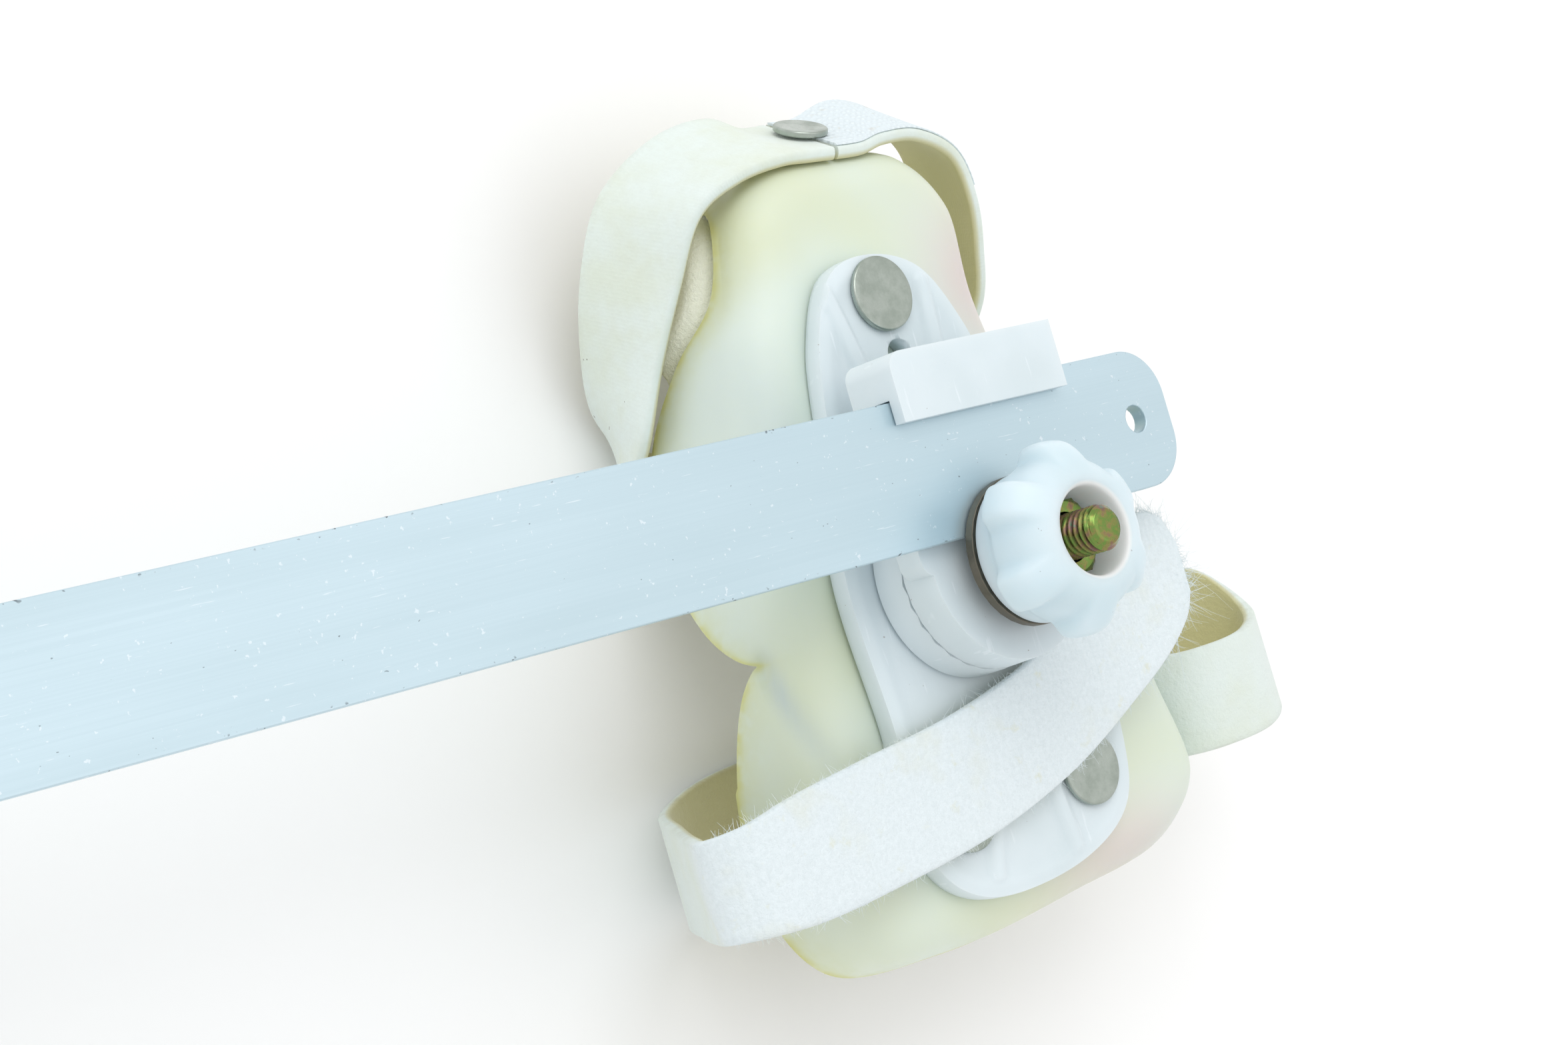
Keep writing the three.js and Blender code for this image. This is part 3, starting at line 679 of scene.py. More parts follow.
for end, side in ENDS:
    head, faces = rivet_head(RIVET_RADIUS, RIVET_THICK)
    for name, x, y in PLATE_RIVETS:
        rivet = lay(f"{name}_rivet_head_{end}", head + [x, y, RIVET_LOW], faces, side, 40)
        ride_as(rivet, nickel_finish, "rivet_nickel", f"sandal_{end}", f"{name}_rivet_{end}")
    head, faces = rivet_head(STRAP_RIVET_RADIUS, STRAP_RIVET_THICK)
    for name, seat, out in STRAP_SEATS:
        across = unit(np.cross([0.0, 0.0, 1.0], out))
        axes = np.array([across, np.cross(out, across), out])
        spots = (head + [0, 0, STRAP_RIVET_STANDS]) @ axes + seat
        rivet = lay(f"{name}_strap_rivet_head_{end}", spots, faces, side, 40)
        ride_as(rivet, nickel_finish, "rivet_nickel", f"sandal_{end}", f"{name}_strap_rivet_{end}")


# The clamp hub is two white mouldings that meet on a ring of teeth, so that the sandal holds its angle.
# The lower half is part of the sandal. The upper half carries the jaw that hooks over the bar's edge.

HUB_LOW = PLATE_TOP + 0.3
HUB_SPLIT = PLATE_TOP + 7
HUB_TEETH = 30
HUB_AROUND = HUB_TEETH * 8
TOOTH_HEIGHT = 0.5
TOOTH_ROOT = HUB_SPLIT + 0.22 - TOOTH_HEIGHT
SCREW_HOLE = 4.35
# The lower half's profile: radius and height. The rows of HUB_TOOTHED rise with the teeth
HUB_PROFILE = (
    (SCREW_HOLE, HUB_LOW), (18.2, HUB_LOW), (18.75, HUB_LOW + 0.5), (18.6, HUB_SPLIT - 2.2),
    (18.4, TOOTH_ROOT), (17.9, TOOTH_ROOT), (12.0, TOOTH_ROOT), (SCREW_HOLE, TOOTH_ROOT))
HUB_TOOTHED = slice(4, 7)
JAW_EDGE = 0.0006
JAW_ROUND = 0.003
JAW_HALF = 0.02
JAW_BACK = BAR_MIDDLE_Y + BAR_HALF_WIDTH + 0.008


def zigzag(turns):
    """A wave that climbs from 0 to 1 and falls back in each whole turn: 1 less the size of 2t - 1."""
    return 1 - np.abs(2 * (turns % 1) - 1)


def square_corner(jaw, side):
    """Carries the points of the jaw's rounded outer back corner out to a square one: away from the
    round's middle, until the larger of their two steps from it is the round's radius."""
    spots = np.empty(len(jaw.data.vertices) * 3)
    jaw.data.vertices.foreach_get("co", spots)
    spots = spots.reshape(-1, 3)
    middle = np.array([SCREW_X + JAW_HALF - JAW_ROUND, JAW_BACK - JAW_ROUND])
    step = spots[:, :2] * [side, 1] - middle
    turned = (step > 1e-5).all(1)
    step[turned] *= JAW_ROUND / step[turned].max(1, keepdims=True)
    spots[:, :2] = (step + middle) * [side, 1]
    jaw.data.vertices.foreach_set("co", spots.ravel())
    jaw.data.update()


for end, side in ENDS:
    rings = turned_solid(HUB_PROFILE, HUB_AROUND)
    teeth = full_turn(HUB_AROUND) * HUB_TEETH / (2 * math.pi)
    rings[HUB_TOOTHED, :, 2] += TOOTH_HEIGHT * zigzag(teeth)
    faces = [grid_faces(len(HUB_PROFILE), HUB_AROUND, True, True)]
    hub = lay(f"hub_lower_{end}", rings, faces, side, 35)
    ride_as(hub, white_finish, "white_plastic", f"sandal_{end}", f"hub_base_{end}")
    jaw = edged_copy(f"hub_jaw_{end}", f"hub_jaw_moulded_{end}", JAW_EDGE, 3)
    square_corner(jaw, side)
    ride_as(jaw, white_finish, "white_plastic", f"clamp_{end}")


# The heel strap is a 20 mm band of off-white foam laminate, 2.4 mm thick; its inner face is painted tan,
# a painted shade of the same cream. It is pinched by its rivet at the back of the heel and goes out past
# both sides and under the instep. A white hook patch is sewn on its outer face beside the rivet, and its
# cut edges are grubby.

STRAP_THICK = 2.4
STRIP_ACROSS = 15
STRIP_EDGE = 0.03
# The edge next to the sole and the other edge, from the rivet round by the inner side: x, y, z each
HEEL_STRAP = np.array([
    (7, 77.6, 45, 7, 87.5, 28), (0.5, 77.7, 45, 0.5, 87.6, 28), (-6, 77.6, 44.8, -6, 90.35, 27.5),
    (-15.5, 76, 43.3, -18, 88.5, 26), (-23.8, 71.5, 40, -29, 81, 21.5),
    (-27.5, 60.5, 33.5, -33.5, 69.5, 16.5), (-31.5, 48, 27, -33.5, 57, 10.5),
    (-35.5, 36, 22.5, -29.5, 46, 4), (-33, 25, 9, -21, 37.5, 1.5), (-10, 18, 2.2, -8, 37, 1.4),
    (18, 17, 2.2, 18, 37, 1.4), (38, 25, 4, 42, 40, 1.4), (47, 38, 16, 52, 47, 2.5),
    (48.5, 48.3, 28, 52.5, 53, 9.5), (46.9, 58, 34, 51, 62, 15), (44.8, 66.6, 38, 49, 71.5, 19.5),
    (40.2, 74.8, 41, 44.5, 81.5, 23.5), (30, 79, 43.3, 34.5, 88, 26.5), (20, 79, 44.4, 23, 90.2, 28.5),
    (13.5, 77.7, 45, 13.5, 87.6, 28), (7, 77.6, 45, 7, 87.5, 28),
], float)
HEEL_STEPS = 300
HOOK_LENGTH = 46.0
HOOK_THICK = 0.45
HOOK_GAP = 0.03
HOOK_MARGIN = 0.03
STRAP_CREAM = (0.715, 0.78, 0.68, 1)
STRAP_PALE = (0.745, 0.825, 0.79, 1)
STRAP_INSIDE_SHADE = (0.60, 0.565, 0.30, 1)
STRAP_GRIME = (0.30, 0.25, 0.14, 1)
STRAP_SPECK = (0.16, 0.13, 0.1, 1)
STRAP_NAP = (0.55, 0.52, 0.42, 1)
HOOK_WHITE = (0.77, 0.85, 0.88, 1)
HOOK_SHADE = (0.71, 0.79, 0.825, 1)
HOOK_SOIL = (0.60, 0.55, 0.45, 1)


def strip_section():
    """Outline of a soft strip's cross-section: place across from 0 to 1 and place through from -1 to 1.
    The faces are flat and the two edges are half rounds, flattened where the strip was cut."""
    flat = np.linspace(STRIP_EDGE, 1 - STRIP_EDGE, STRIP_ACROSS)
    turn = np.radians([60, 30, 0, -30, -60])
    far = np.column_stack([1 - STRIP_EDGE + STRIP_EDGE * np.cos(turn), np.sin(turn)])
    face = np.column_stack([flat, np.ones(STRIP_ACROSS)])
    back = np.column_stack([flat[::-1], -np.ones(STRIP_ACROSS)])
    near = np.column_stack([STRIP_EDGE - STRIP_EDGE * np.cos(turn), -np.sin(turn)])
    return np.vstack([face, far, back, near])


def strip_normal(near, far):
    """The way out of a strip's face: square to its slope along and to the line across it."""
    slope = unit(np.gradient(near, axis=0) + np.gradient(far, axis=0))
    return unit(np.cross(slope, unit(far - near)))


def soft_strip(near, far, thick):
    """A strip between two edge lines. A point is a share of the way across from one edge line to the
    other, moved out along the strip's own normal by half the thickness times its place through."""
    section = strip_section()
    spots = near[:, None] + (far - near)[:, None] * section[None, :, :1]
    spots = spots + strip_normal(near, far)[:, None] * (thick / 2) * section[None, :, 1:]
    grid = spots.shape[:2]
    way = np.append(0, np.cumsum(np.linalg.norm(np.diff((near + far) / 2, axis=0), axis=1)))
    width = np.linalg.norm(far - near, axis=1)
    flat = [np.broadcast_to(way[:, None], grid), width[:, None] * section[None, :, 0]]
    spread = np.stack(flat, -1) / 1000
    through = np.broadcast_to(section[None, :, 1], grid)
    at_edge = np.broadcast_to(np.clip(np.abs(section[None, :, 0] - 0.5) * 2, 0, 1), grid)
    return spots, closed_rings(*grid), spread, through, at_edge, way, width


def along_strip(add, along, across):
    """Place on the flat strip, in that many steps to a metre along it and across it."""
    strip = add("ShaderNodeUVMap", uv_map="strip").outputs["UV"]
    return add("ShaderNodeMapping", {"Vector": strip, "Scale": (along, across, 1)}).outputs["Vector"]


def cells(add, count, uneven):
    """Way from the nearest middle of the small cells on the flat strip, of which a metre has count."""
    inputs = {"Vector": along_strip(add, count, count), "Scale": 1.0, "Randomness": uneven}
    return add("ShaderNodeTexVoronoi", inputs).outputs["Distance"]


def foam_cream(add, marks, soil, nap):
    """The foam strap's colour: cream in patches, painted shade in tan inside, grime on its cut edges."""
    cream = tint(add, between(add, soil, 0.35, 0.7), STRAP_PALE, STRAP_CREAM)
    cream = tint(add, marks["Red"], cream, STRAP_INSIDE_SHADE)
    grime = times(add, marks["Green"], between(add, nap, 0.45, 0.62))
    return tint(add, grime, cream, STRAP_GRIME)


strap_finish, add, coat = new_finish("off_white_foam_strap")
knit = cells(add, 1400, 0.35)
nap = cloud(add, 700, 3.0, 0.7)
soil = cloud(add, 70, 3.0)
speck = cloud(add, 620, 1.0)
cream = foam_cream(add, painted(add, "faces"), soil, nap)
cream = tint(add, between(add, speck, 0.81, 0.82, 0.0, 0.7), cream, STRAP_SPECK)
height = combine(add, "ADD", nap, times(add, knit, 0.5))
coat({
    "Base Color": tint(add, between(add, nap, 0.3, 0.7, 0.0, 0.08), cream, STRAP_NAP),
    "Roughness": 0.9,
    "Sheen Weight": 0.2,
    "Sheen Roughness": 0.5,
    "Normal": relief(add, height, 0.00018, 0.5),
})

patch_finish, add, coat = new_finish("white_hook_tape")
hooks = cells(add, 620, 0.3)
grain = cloud(add, 300, 3.0)
white = tint(add, between(add, hooks, 0.15, 0.55), HOOK_WHITE, HOOK_SHADE)
coat({
    "Base Color": tint(add, between(add, grain, 0.6, 0.75, 0.0, 0.5), white, HOOK_SOIL),
    "Roughness": 0.6,
    "Normal": relief(add, between(add, hooks, 0.1, 0.55, 1.0, 0.0), 0.0004, 0.6),
})

for end, side in ENDS:
    line = smooth_line(HEEL_STRAP, HEEL_STEPS, False)
    near, far = line[1:-1, :3], line[1:-1, 3:]
    spots, faces, spread, through, at_edge, way, width = soft_strip(near, far, STRAP_THICK)
    inside = np.clip(through, 0, 1) ** 0.5
    outer_arc = np.clip((way - 0.6 * way[-1]) / 15, 0, 1)[:, None]
    at_far_edge = np.clip((at_edge - 0.9) / 0.1, 0, 1) * (spread[..., 1] > 0.5 * width[:, None] / 1000)
    grime = at_far_edge * (0.1 + 0.9 * outer_arc)
    marks = {"faces": np.stack([inside, grime, grime], -1)}
    strap = lay(f"heel_strap_{end}_band", spots, faces, side, 70, marks, spread)
    ride_as(strap, strap_finish, "heel_webbing", f"sandal_{end}", f"heel_strap_{end}")
    # The hook patch lies on the outer face, from the rivet out along the outer side
    last = way > way[-1] - HOOK_LENGTH
    outward = -strip_normal(near, far)[last] * (STRAP_THICK / 2 + HOOK_THICK / 2 + HOOK_GAP)
    rim = (far - near)[last] * HOOK_MARGIN
    near, far = near[last] + outward + rim, far[last] + outward - rim
    spots, faces, spread, *_ = soft_strip(near, far, HOOK_THICK)
    patch = lay(f"hook_patch_{end}", spots, faces, side, 50, None, spread)
    ride_as(patch, patch_finish, "heel_webbing", f"sandal_{end}")


# The forefoot strap is one long band: riveted to the outer wall, round a loop, under the foot, out to a
# fold on the inner side and back over the sole to a round tip. Its run over the sole has white loop
# pile on its outer face, with a fuzzy edge, faint ribs and pale stains. The rest is like the heel strap.

# Middle of the strap from its rivet to its tip: x, y, z, width and how far its toe side edge stands out
FORE_STRAP = np.array([
    (56.5, -35, 23, 20, 2.4), (56.5, -35.5, 34, 20, 2), (63, -36, 42, 19.5, 0), (78, -35, 42.5, 19.5, 0),
    (87.5, -31, 36, 19.5, 0), (86, -21.5, 26, 20, 0), (75, -21, 13.5, 20, 0), (59, -26, 3.4, 21, 0),
    (38, -30, 1.5, 22, 0), (5, -32, 1.4, 22, 0), (-28, -34, 1.95, 22, 0), (-43, -36.5, 8.5, 21, 0),
    (-53, -38.3, 23.5, 19.5, 0), (-62, -39.3, 38.5, 18, 0), (-65.8, -39.4, 46.3, 17.5, 0),
    (-62, -39.3, 51.4, 18.5, 0), (-52, -38.5, 52.8, 21, 0), (-36, -37, 53.2, 22, 0),
    (-11, -34, 53.6, 22, 0), (12, -28, 54, 22, 0), (30, -19, 55, 24, 0), (41, -12, 56, 26, 0),
    (47.2, -10, 56.4, 20, 0), (49.8, -10.6, 56.6, 10, 0),
], float)
FORE_STEPS = 420
FIBRE_COUNT = 1500
FIBRES_AT_TIP = FIBRE_COUNT // 6
FIBRE_RINGS = 5
FIBRE_RADIUS = 0.05
PILE_WHITE = (0.80, 0.875, 0.905, 1)
PILE_SHADE = (0.735, 0.81, 0.835, 1)
PILE_STAIN = (0.72, 0.73, 0.56, 1)


def edge_fibres(near, far, run, spread):
    """Loose fibres along both edges of a strip's run and round its tip. A fibre starts on the edge, goes
    out across the strip and bends with the square of the way along it, and is a three-sided tube that
    thins to its end. They are longer towards the tip."""
    random = np.random.default_rng(7)
    count = FIBRE_COUNT
    at = run[(random.random(count) ** 0.75 * (len(run) - 1)).astype(int)]
    at_tip = np.arange(count) < FIBRES_AT_TIP
    at[at_tip] = run[-1]
    other = random.random(count) < 0.5
    base = np.where(other[:, None], far[at], near[at])
    across = unit(far[at] - near[at])
    base[at_tip] = (near[at] + (far - near)[at] * random.random(count)[:, None])[at_tip]
    along = unit(near[at] - near[at - 3] + far[at] - far[at - 3])
    out = np.where(at_tip[:, None], along, np.where(other[:, None], across, -across))
    normal = np.cross(along, across)
    base = base + normal * random.uniform(-1.0, 1.0, count)[:, None] - out * 0.25
    to_tip = np.clip((at - run[0]) / (len(run) - 1), 0, 1)
    length = random.uniform(0.45, 1.3, count) + to_tip ** 5 * random.exponential(1.3, count)
    way = unit(out + 0.55 * random.normal(size=(count, 3)))
    bend = 0.7 * random.normal(size=(count, 3))
    t = np.linspace(0, 1, FIBRE_RINGS)[None, :, None]
    middle = base[:, None] + (way[:, None] * t + bend[:, None] * t ** 2) * length[:, None, None]
    side_way = unit(np.cross(way, along + 0.01))
    lift = np.cross(way, side_way)
    turn = np.radians([0, 120, 240])
    ring = np.cos(turn)[:, None] * side_way[:, None] + np.sin(turn)[:, None] * lift[:, None]
    thin = FIBRE_RADIUS * (1 - 0.6 * t)
    points = middle[:, :, None] + ring[:, None] * thin[..., None]
    total = FIBRE_RINGS * 3
    one = grid_faces(FIBRE_RINGS, 3, wrap_columns=True)
    caps = np.array([[2, 1, 0], [total - 3, total - 2, total - 1]])
    step = total * np.arange(count)[:, None, None]
    faces = [(step + one).reshape(-1, 4), (step + caps).reshape(-1, 3)]
    return points.reshape(-1, 3), faces, np.repeat(spread[at, 0], total, axis=0)


pile_finish, add, coat = new_finish("white_loop_pile")
marks = painted(add, "faces")
rib_inputs = {"Scale": 210.0, "Distortion": 2.5, "Detail": 2.0, "Detail Scale": 3.0}
rib_inputs["Vector"] = along_strip(add, 1, 0.12)
rib = add("ShaderNodeTexWave", rib_inputs, bands_direction="X").outputs["Fac"]
rib = times(add, rib, marks["Blue"])
tuft = cloud(add, 1100, 4.0, 0.75)
clump = cloud(add, 240, 3.0)
soil = cloud(add, 38, 4.0, 0.65)
white = tint(add, between(add, tuft, 0.3, 0.7), PILE_WHITE, PILE_SHADE)
white = tint(add, times(add, rib, 0.16), white, PILE_SHADE)
white = tint(add, between(add, soil, 0.52, 0.72, 0.0, 0.55), white, PILE_STAIN)
white = tint(add, between(add, clump, 0.60, 0.78, 0.0, 0.6), white, PILE_STAIN)
cream = foam_cream(add, marks, soil, clump)
height = combine(add, "ADD", combine(add, "ADD", tuft, clump), times(add, rib, 0.17))
coat({
    "Base Color": tint(add, marks["Blue"], cream, white),
    "Roughness": 0.95,
    "Sheen Weight": 0.35,
    "Sheen Roughness": 0.55,
    "Normal": relief(add, height, 0.0004, 0.7),
})

for end, side in ENDS:
    line = smooth_line(FORE_STRAP, FORE_STEPS, False)
    aside = np.column_stack([-line[:, 4], line[:, 3], np.zeros(FORE_STEPS)]) / 2
    near, far = line[:, :3] + aside, line[:, :3] - aside
    spots, faces, spread, through, at_edge, way, _ = soft_strip(near, far, STRAP_THICK)
    inside = np.clip(through, 0, 1) ** 0.5
    grime = 0.15 * np.clip((at_edge - 0.93) / 0.07, 0, 1)
    from_fold = way - way[np.argmin(line[:, 0])]
    pile = np.clip(from_fold / 12 + 1, 0, 1)[:, None] * np.clip(-through + 0.6, 0, 1)
    marks = {"faces": np.stack([inside, grime, pile], -1)}
    strap = lay(f"forefoot_strap_{end}_band", spots, faces, side, 70, marks, spread)
    ride_as(strap, pile_finish, "forefoot_webbing", f"sandal_{end}", f"forefoot_strap_{end}")
    fuzz, faces, spread = edge_fibres(near, far, np.flatnonzero(from_fold > 0), spread)
    marks = {"faces": np.broadcast_to((0.0, 0.0, 1.0), fuzz.shape)}
    fibres = lay(f"pile_fibres_{end}", fuzz, faces, side, 60, marks, spread)
    ride_as(fibres, pile_finish, "forefoot_webbing", f"sandal_{end}")


# The clamp is drawn together by an M8 screw of yellow passivated zinc. A thin dark steel washer lies
# on the bar, and a milky white star knob with a nut in its well turns down on the screw.

BAR_TOP = SOLE_TOP + 22
WASHER_EDGE = 0.0002
KNOB_LOW = BAR_TOP + 2.4
KNOB_AROUND = 240
KNOB_LOBES = 6
KNOB_LOBE = 2.7
KNOB_TURN = math.radians(25)
# The knob's profile from the screw hole under it, up its side, over its top and down into its well:
# radius, height above its foot and how much of the lobe shows there. KNOB_WELL_ROWS are in the well
KNOB_PROFILE = np.array([
    (SCREW_HOLE, 0, 0), (12.2, 0, 0), (12.8, 0.25, 0), (13.0, 0.8, 0), (13.2, 3.2, 0), (13.4, 4.3, 0),
    (13.7, 4.9, 0.35), (13.9, 5.4, 0.85), (14.0, 6, 1), (14.1, 8, 1), (14.0, 9.8, 1), (13.7, 11.3, 0.93),
    (13.1, 12.8, 0.72), (12.3, 14.1, 0.42), (11.3, 15.1, 0.16), (10.2, 15.75, 0.03), (9.2, 16, 0),
    (8.5, 15.95, 0), (7.95, 15.7, 0), (7.65, 15.2, 0), (7.6, 14.4, 0), (7.6, 5.8, 0), (7.4, 5.2, 0),
    (6.9, 5, 0), (SCREW_HOLE, 5, 0),
])
KNOB_WELL_ROWS = slice(-7, -1)
NUT_FLATS = 12.6
NUT_THICK = 4.5
NUT_LOW = KNOB_LOW + 5.3
NUT_AROUND = 96
NUT_PROFILE = (
    (4.4, 0.3), (6.1, 0.0), (6.7, 0.3), (7.4, 0.7), (7.4, NUT_THICK - 0.7), (6.7, NUT_THICK - 0.3),
    (6.1, NUT_THICK), (4.4, NUT_THICK - 0.3))
SCREW_RADIUS = 4.0
SCREW_PITCH = 1.25
SCREW_TOP = KNOB_LOW + 18.6
SCREW_AROUND = 48
SCREW_STEPS = 300
SCREW_TIP = 3.0
THREAD_DEPTH = 0.62
SCREW_HEAD = (
    (8.8, PLATE_TOP - 2.3), (9, PLATE_TOP - 2.1), (9, PLATE_TOP - 0.2), (8.8, PLATE_TOP),
    (SCREW_RADIUS, PLATE_TOP))
SCREW_END = ((2.2, SCREW_TOP + 0.02), (0.4, SCREW_TOP + 0.03))
# Colours of the zinc's film, each with its place in the noise
ZINC_FILM = (
    (0.30, (0.33, 0.29, 0.09, 1)), (0.44, (0.17, 0.29, 0.07, 1)), (0.55, (0.29, 0.25, 0.09, 1)),
    (0.66, (0.27, 0.14, 0.13, 1)), (0.78, (0.11, 0.27, 0.16, 1)))
ZINC_ROOT_SHADE = (0.012, 0.011, 0.008, 1)
WASHER_DARK = (0.10, 0.09, 0.07, 1)
WASHER_GREY = (0.22, 0.20, 0.16, 1)
KNOB_MILK = (0.67, 0.79, 0.855, 1)
KNOB_DIM = (0.61, 0.735, 0.79, 1)
KNOB_SPECK = (0.3, 0.32, 0.34, 1)
KNOB_WELL_LIGHT = (0.92, 0.965, 0.97, 1)


def star_swell(angle):
    """Flat-topped lobes round the knob, 1 on a lobe and 0 between two: a steep S curve of a cosine."""
    return 1 / (1 + np.exp(-6.0 * (np.cos(KNOB_LOBES * (angle - KNOB_TURN)) - 0.1)))


def hex_nut():
    """The nut as rings: a turned profile, whose radius is cut down to the six flats, so that the
    corners keep the profile's chamfers."""
    angle = full_turn(NUT_AROUND)
    corner = np.mod(angle + math.pi / 6, math.pi / 3) - math.pi / 6
    flats = NUT_FLATS / 2 / np.cos(corner)
    rings = turned_solid(np.array(NUT_PROFILE) + [0, NUT_LOW], NUT_AROUND)
    radius = np.minimum(np.linalg.norm(rings[..., :2], axis=-1), flats[None, :])
    rings[..., 0] = radius * np.cos(angle + math.pi / 6)
    rings[..., 1] = radius * np.sin(angle + math.pi / 6)
    return rings


def clamp_screw():
    """The screw as closed rings: a flat head, a thread and a flat end. The thread's radius falls from its
    crest by its depth times a zigzag that climbs one pitch in each turn, and a cone cuts it off at the
    top. The second result is how far in the thread's root each point is, which the zinc's colour darkens
    to near black as painted shade."""
    angle = full_turn(SCREW_AROUND)
    level = np.linspace(PLATE_TOP + 0.02, SCREW_TOP, SCREW_STEPS)[:, None]
    ridge = zigzag(level / SCREW_PITCH - angle[None, :] / (2 * math.pi))
    radius = SCREW_RADIUS - THREAD_DEPTH * (1 - np.clip(ridge * 1.3, 0, 1))
    radius = np.minimum(radius, SCREW_TIP + (SCREW_TOP - level) * 0.9)
    height = np.broadcast_to(level, radius.shape)
    thread = np.stack([radius * np.cos(angle), radius * np.sin(angle), height], -1)
    deep = np.clip((SCREW_RADIUS - radius) / THREAD_DEPTH, 0, 1) * (level < SCREW_TOP - 1.1)
    head = turned_solid(SCREW_HEAD, SCREW_AROUND)
    tip = turned_solid(SCREW_END, SCREW_AROUND)
    rings = np.concatenate([head, thread, tip])
    root = np.zeros(rings.shape)
    root[len(head):-len(tip)] = deep[..., None]
    return rings, root


zinc_finish, add, coat = new_finish("yellow_zinc")
film = cloud(add, 360, 3.0)
# Painted shade: the thread's root is darkened to near black in ZINC_ROOT_SHADE
root = add("ShaderNodeAttribute", attribute_name="root").outputs["Fac"]
ramp = add("ShaderNodeValToRGB", {0: film})
stripe = ramp.color_ramp.elements
for place, colour in ZINC_FILM[1:-1]:
    stripe.new(place).color = colour
for at in (0, -1):
    stripe[at].position, stripe[at].color = ZINC_FILM[at]
coat({
    "Base Color": tint(add, root, ramp.outputs["Color"], ZINC_ROOT_SHADE),
    "Metallic": 1.0,
    "Roughness": between(add, film, 0.3, 0.7, 0.18, 0.34),
})

washer_finish, add, coat = new_finish("dull_steel")
grain = cloud(add, 500, 3.0)
coat({
    "Base Color": tint(add, grain, WASHER_DARK, WASHER_GREY),
    "Metallic": 0.9,
    "Roughness": between(add, grain, 0.3, 0.7, 0.35, 0.55),
})

knob_finish, add, coat = new_finish("milky_white_nylon")
soft = cloud(add, 60, 2.0)
fine = cloud(add, 500, 3.0)
speck = cloud(add, 1100, 1.0)
# Painted light: the well's inner wall is made nearly white, for light coming through the milky nylon
well_light = add("ShaderNodeAttribute", attribute_name="well_light").outputs["Fac"]
white = tint(add, between(add, soft, 0.35, 0.7), KNOB_MILK, KNOB_DIM)
white = tint(add, between(add, speck, 0.80, 0.81, 0.0, 0.6), white, KNOB_SPECK)
coat({
    "Base Color": tint(add, well_light, white, KNOB_WELL_LIGHT),
    "Roughness": between(add, fine, 0.3, 0.7, 0.32, 0.46),
    "Subsurface Weight": 0.6,
    "Subsurface Radius": (0.9, 1.0, 1.0),
    "Subsurface Scale": 0.009,
    "Normal": relief(add, fine, 0.00012, 0.35),
})

for end, side in ENDS:
    washer = edged_copy(f"washer_{end}", f"washer_disc_{end}", WASHER_EDGE, 2)
    ride_as(washer, washer_finish, "washer_steel", f"clamp_{end}")
    rings = turned_solid(KNOB_PROFILE * [1, 1, KNOB_LOBE] + [0, KNOB_LOW, 0], KNOB_AROUND, star_swell)
    well_light = np.zeros(rings.shape)
    well_light[KNOB_WELL_ROWS] = 1
    faces = [grid_faces(len(rings), KNOB_AROUND, True, True)]
    knob = lay(f"star_knob_{end}", rings, faces, side, 70, {"well_light": well_light})
    smooth = knob.modifiers.new("rounding", "SUBSURF")
    smooth.levels = smooth.render_levels = 1
    ride_as(knob, knob_finish, "white_plastic", f"knob_{end}", f"knob_{end}")
    rings = hex_nut()
    nut = lay(f"hex_nut_{end}", rings, [grid_faces(len(rings), NUT_AROUND, True, True)], side, 30)
    ride_as(nut, zinc_finish, "yellow_zinc", f"knob_{end}", f"nut_{end}")
    rings, root = clamp_screw()
    faces = closed_rings(len(rings), SCREW_AROUND)
    screw = lay(f"clamp_screw_{end}", rings, faces, side, 50, {"root": root})
    ride_as(screw, zinc_finish, "yellow_zinc", f"sandal_{end}", f"screw_{end}")


# A plain pale floor, soft studio light from the heel side and the photograph's own viewing angle.

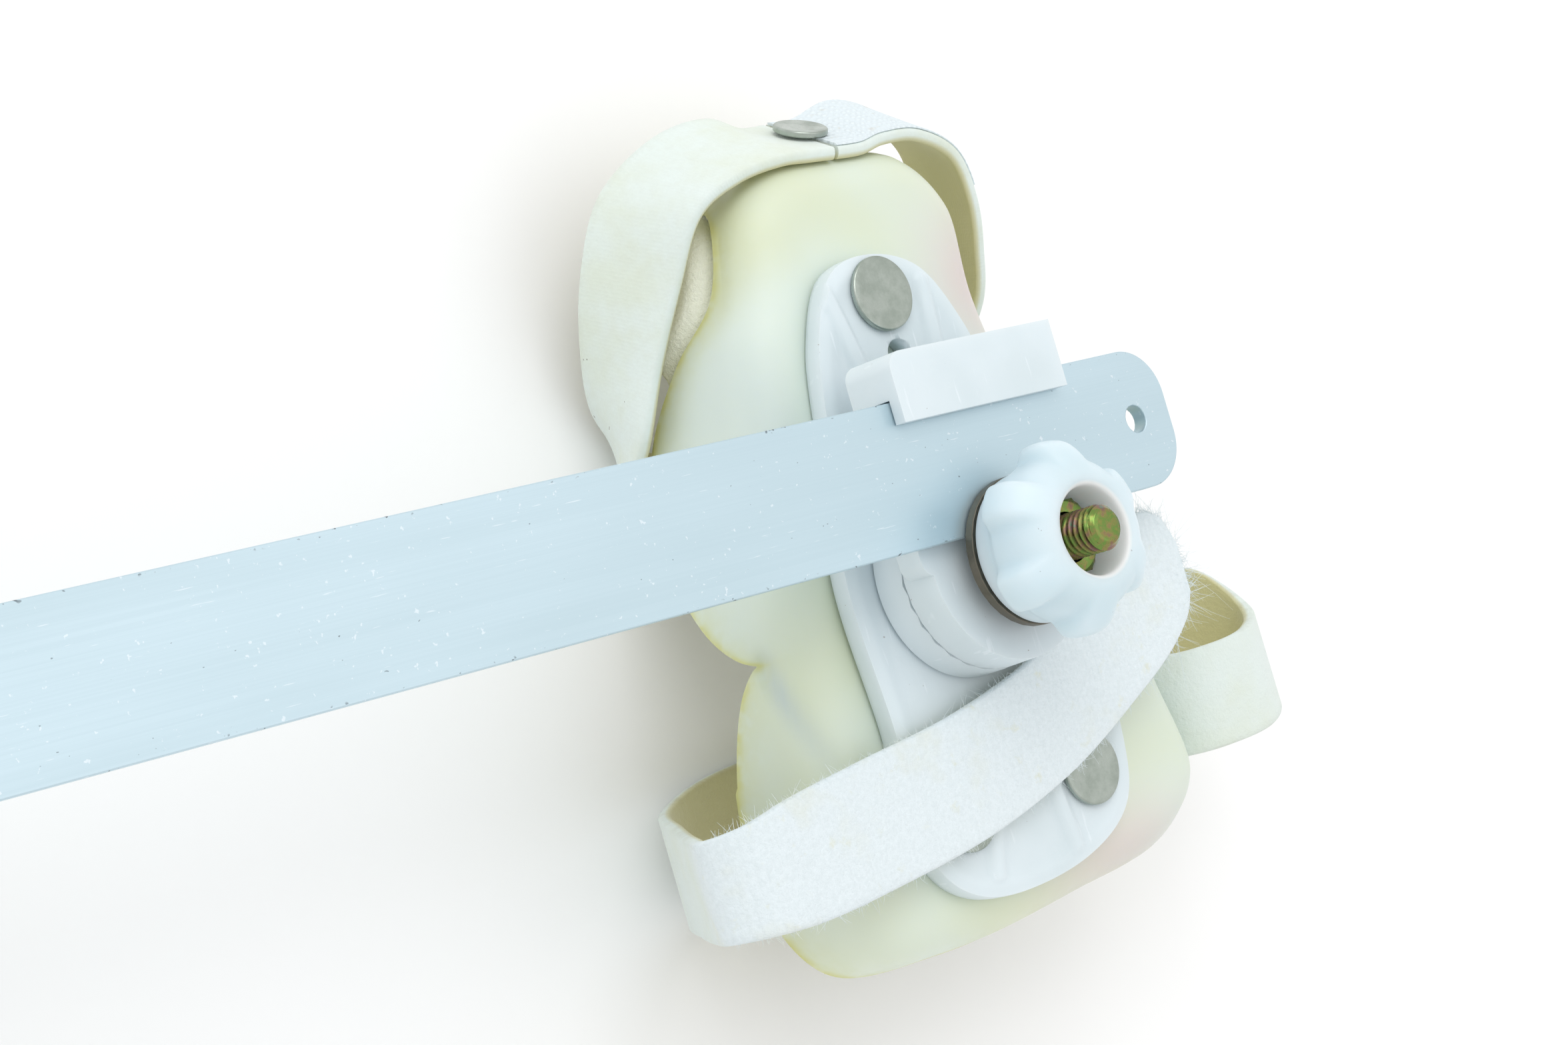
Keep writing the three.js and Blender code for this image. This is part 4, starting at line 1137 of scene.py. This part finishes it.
FLOOR_HALF = 3.0
FLOOR_LEVEL = -0.0004
FLOOR_WHITE = (0.97, 0.97, 0.97, 1)
STUDIO_WHITE = (1.0, 1.0, 1.0, 1)
STUDIO_STRENGTH = 0.89
PHOTO_FOCAL = 4537.67
PHOTO_WIDTH = 2352
SENSOR_WIDTH = 36.0
CAMERA_AT = (-0.22665, -0.018455, 0.43239)
CAMERA_RIGHT = np.array([0.731399, -0.279497, 0.622042])
CAMERA_UP = np.array([0.185558, 0.959302, 0.212856])
CAMERA_BACK = np.array([-0.656219, -0.040258, 0.753496])


def stand_at(place, right, up, back):
    """The matrix of an object at a place, with its axes along right, up and back."""
    stand = np.eye(4)
    stand[:3, :3] = np.column_stack([right, up, back])
    stand[:3, 3] = place
    return Matrix(stand.tolist())


def soft_box(name, place, aim, size, power):
    """A square area lamp at a place, turned towards a point."""
    lamp = bpy.data.lights.new(name, "AREA")
    lamp.shape = "SQUARE"
    lamp.size = size
    lamp.energy = power
    back = unit(np.array(place) - np.array(aim))
    right = unit(np.cross([0.0, 1.0, 0.3], back))
    into_scene(name, lamp).matrix_world = stand_at(place, right, np.cross(back, right), back)


floor_mesh = bpy.data.meshes.new("floor")
floor_corners = [
    (x * FLOOR_HALF, y * FLOOR_HALF, FLOOR_LEVEL) for x, y in ((-1, -1), (1, -1), (1, 1), (-1, 1))]
floor_mesh.from_pydata(floor_corners, [], [(0, 1, 2, 3)])
floor = into_scene("floor", floor_mesh)
floor_finish, add, coat = new_finish("pale_floor")
coat({"Base Color": FLOOR_WHITE, "Roughness": 0.9})
floor_mesh.materials.append(floor_finish)

soft_box("key_light", (-0.3, 1.1, 1.4), (0.1, 0.0, 0.03), 1.3, 9)
soft_box("top_light", (0.5, 0.0, 1.1), (0.05, 0.0, 0.05), 0.9, 0.9)

world = bpy.data.worlds.new("studio")
world.use_nodes = True
backdrop = world.node_tree.nodes["Background"].inputs
backdrop["Color"].default_value = STUDIO_WHITE
backdrop["Strength"].default_value = STUDIO_STRENGTH
bpy.context.scene.world = world
bpy.context.scene.view_settings.view_transform = "Standard"

camera_data = bpy.data.cameras.new("photo_camera")
camera_data.sensor_width = SENSOR_WIDTH
camera_data.sensor_fit = "HORIZONTAL"
camera_data.lens = SENSOR_WIDTH * PHOTO_FOCAL / PHOTO_WIDTH
camera_data.clip_start = 0.01
camera = into_scene("photo_camera", camera_data)
camera.matrix_world = stand_at(CAMERA_AT, CAMERA_RIGHT, CAMERA_UP, CAMERA_BACK)
bpy.context.scene.camera = camera
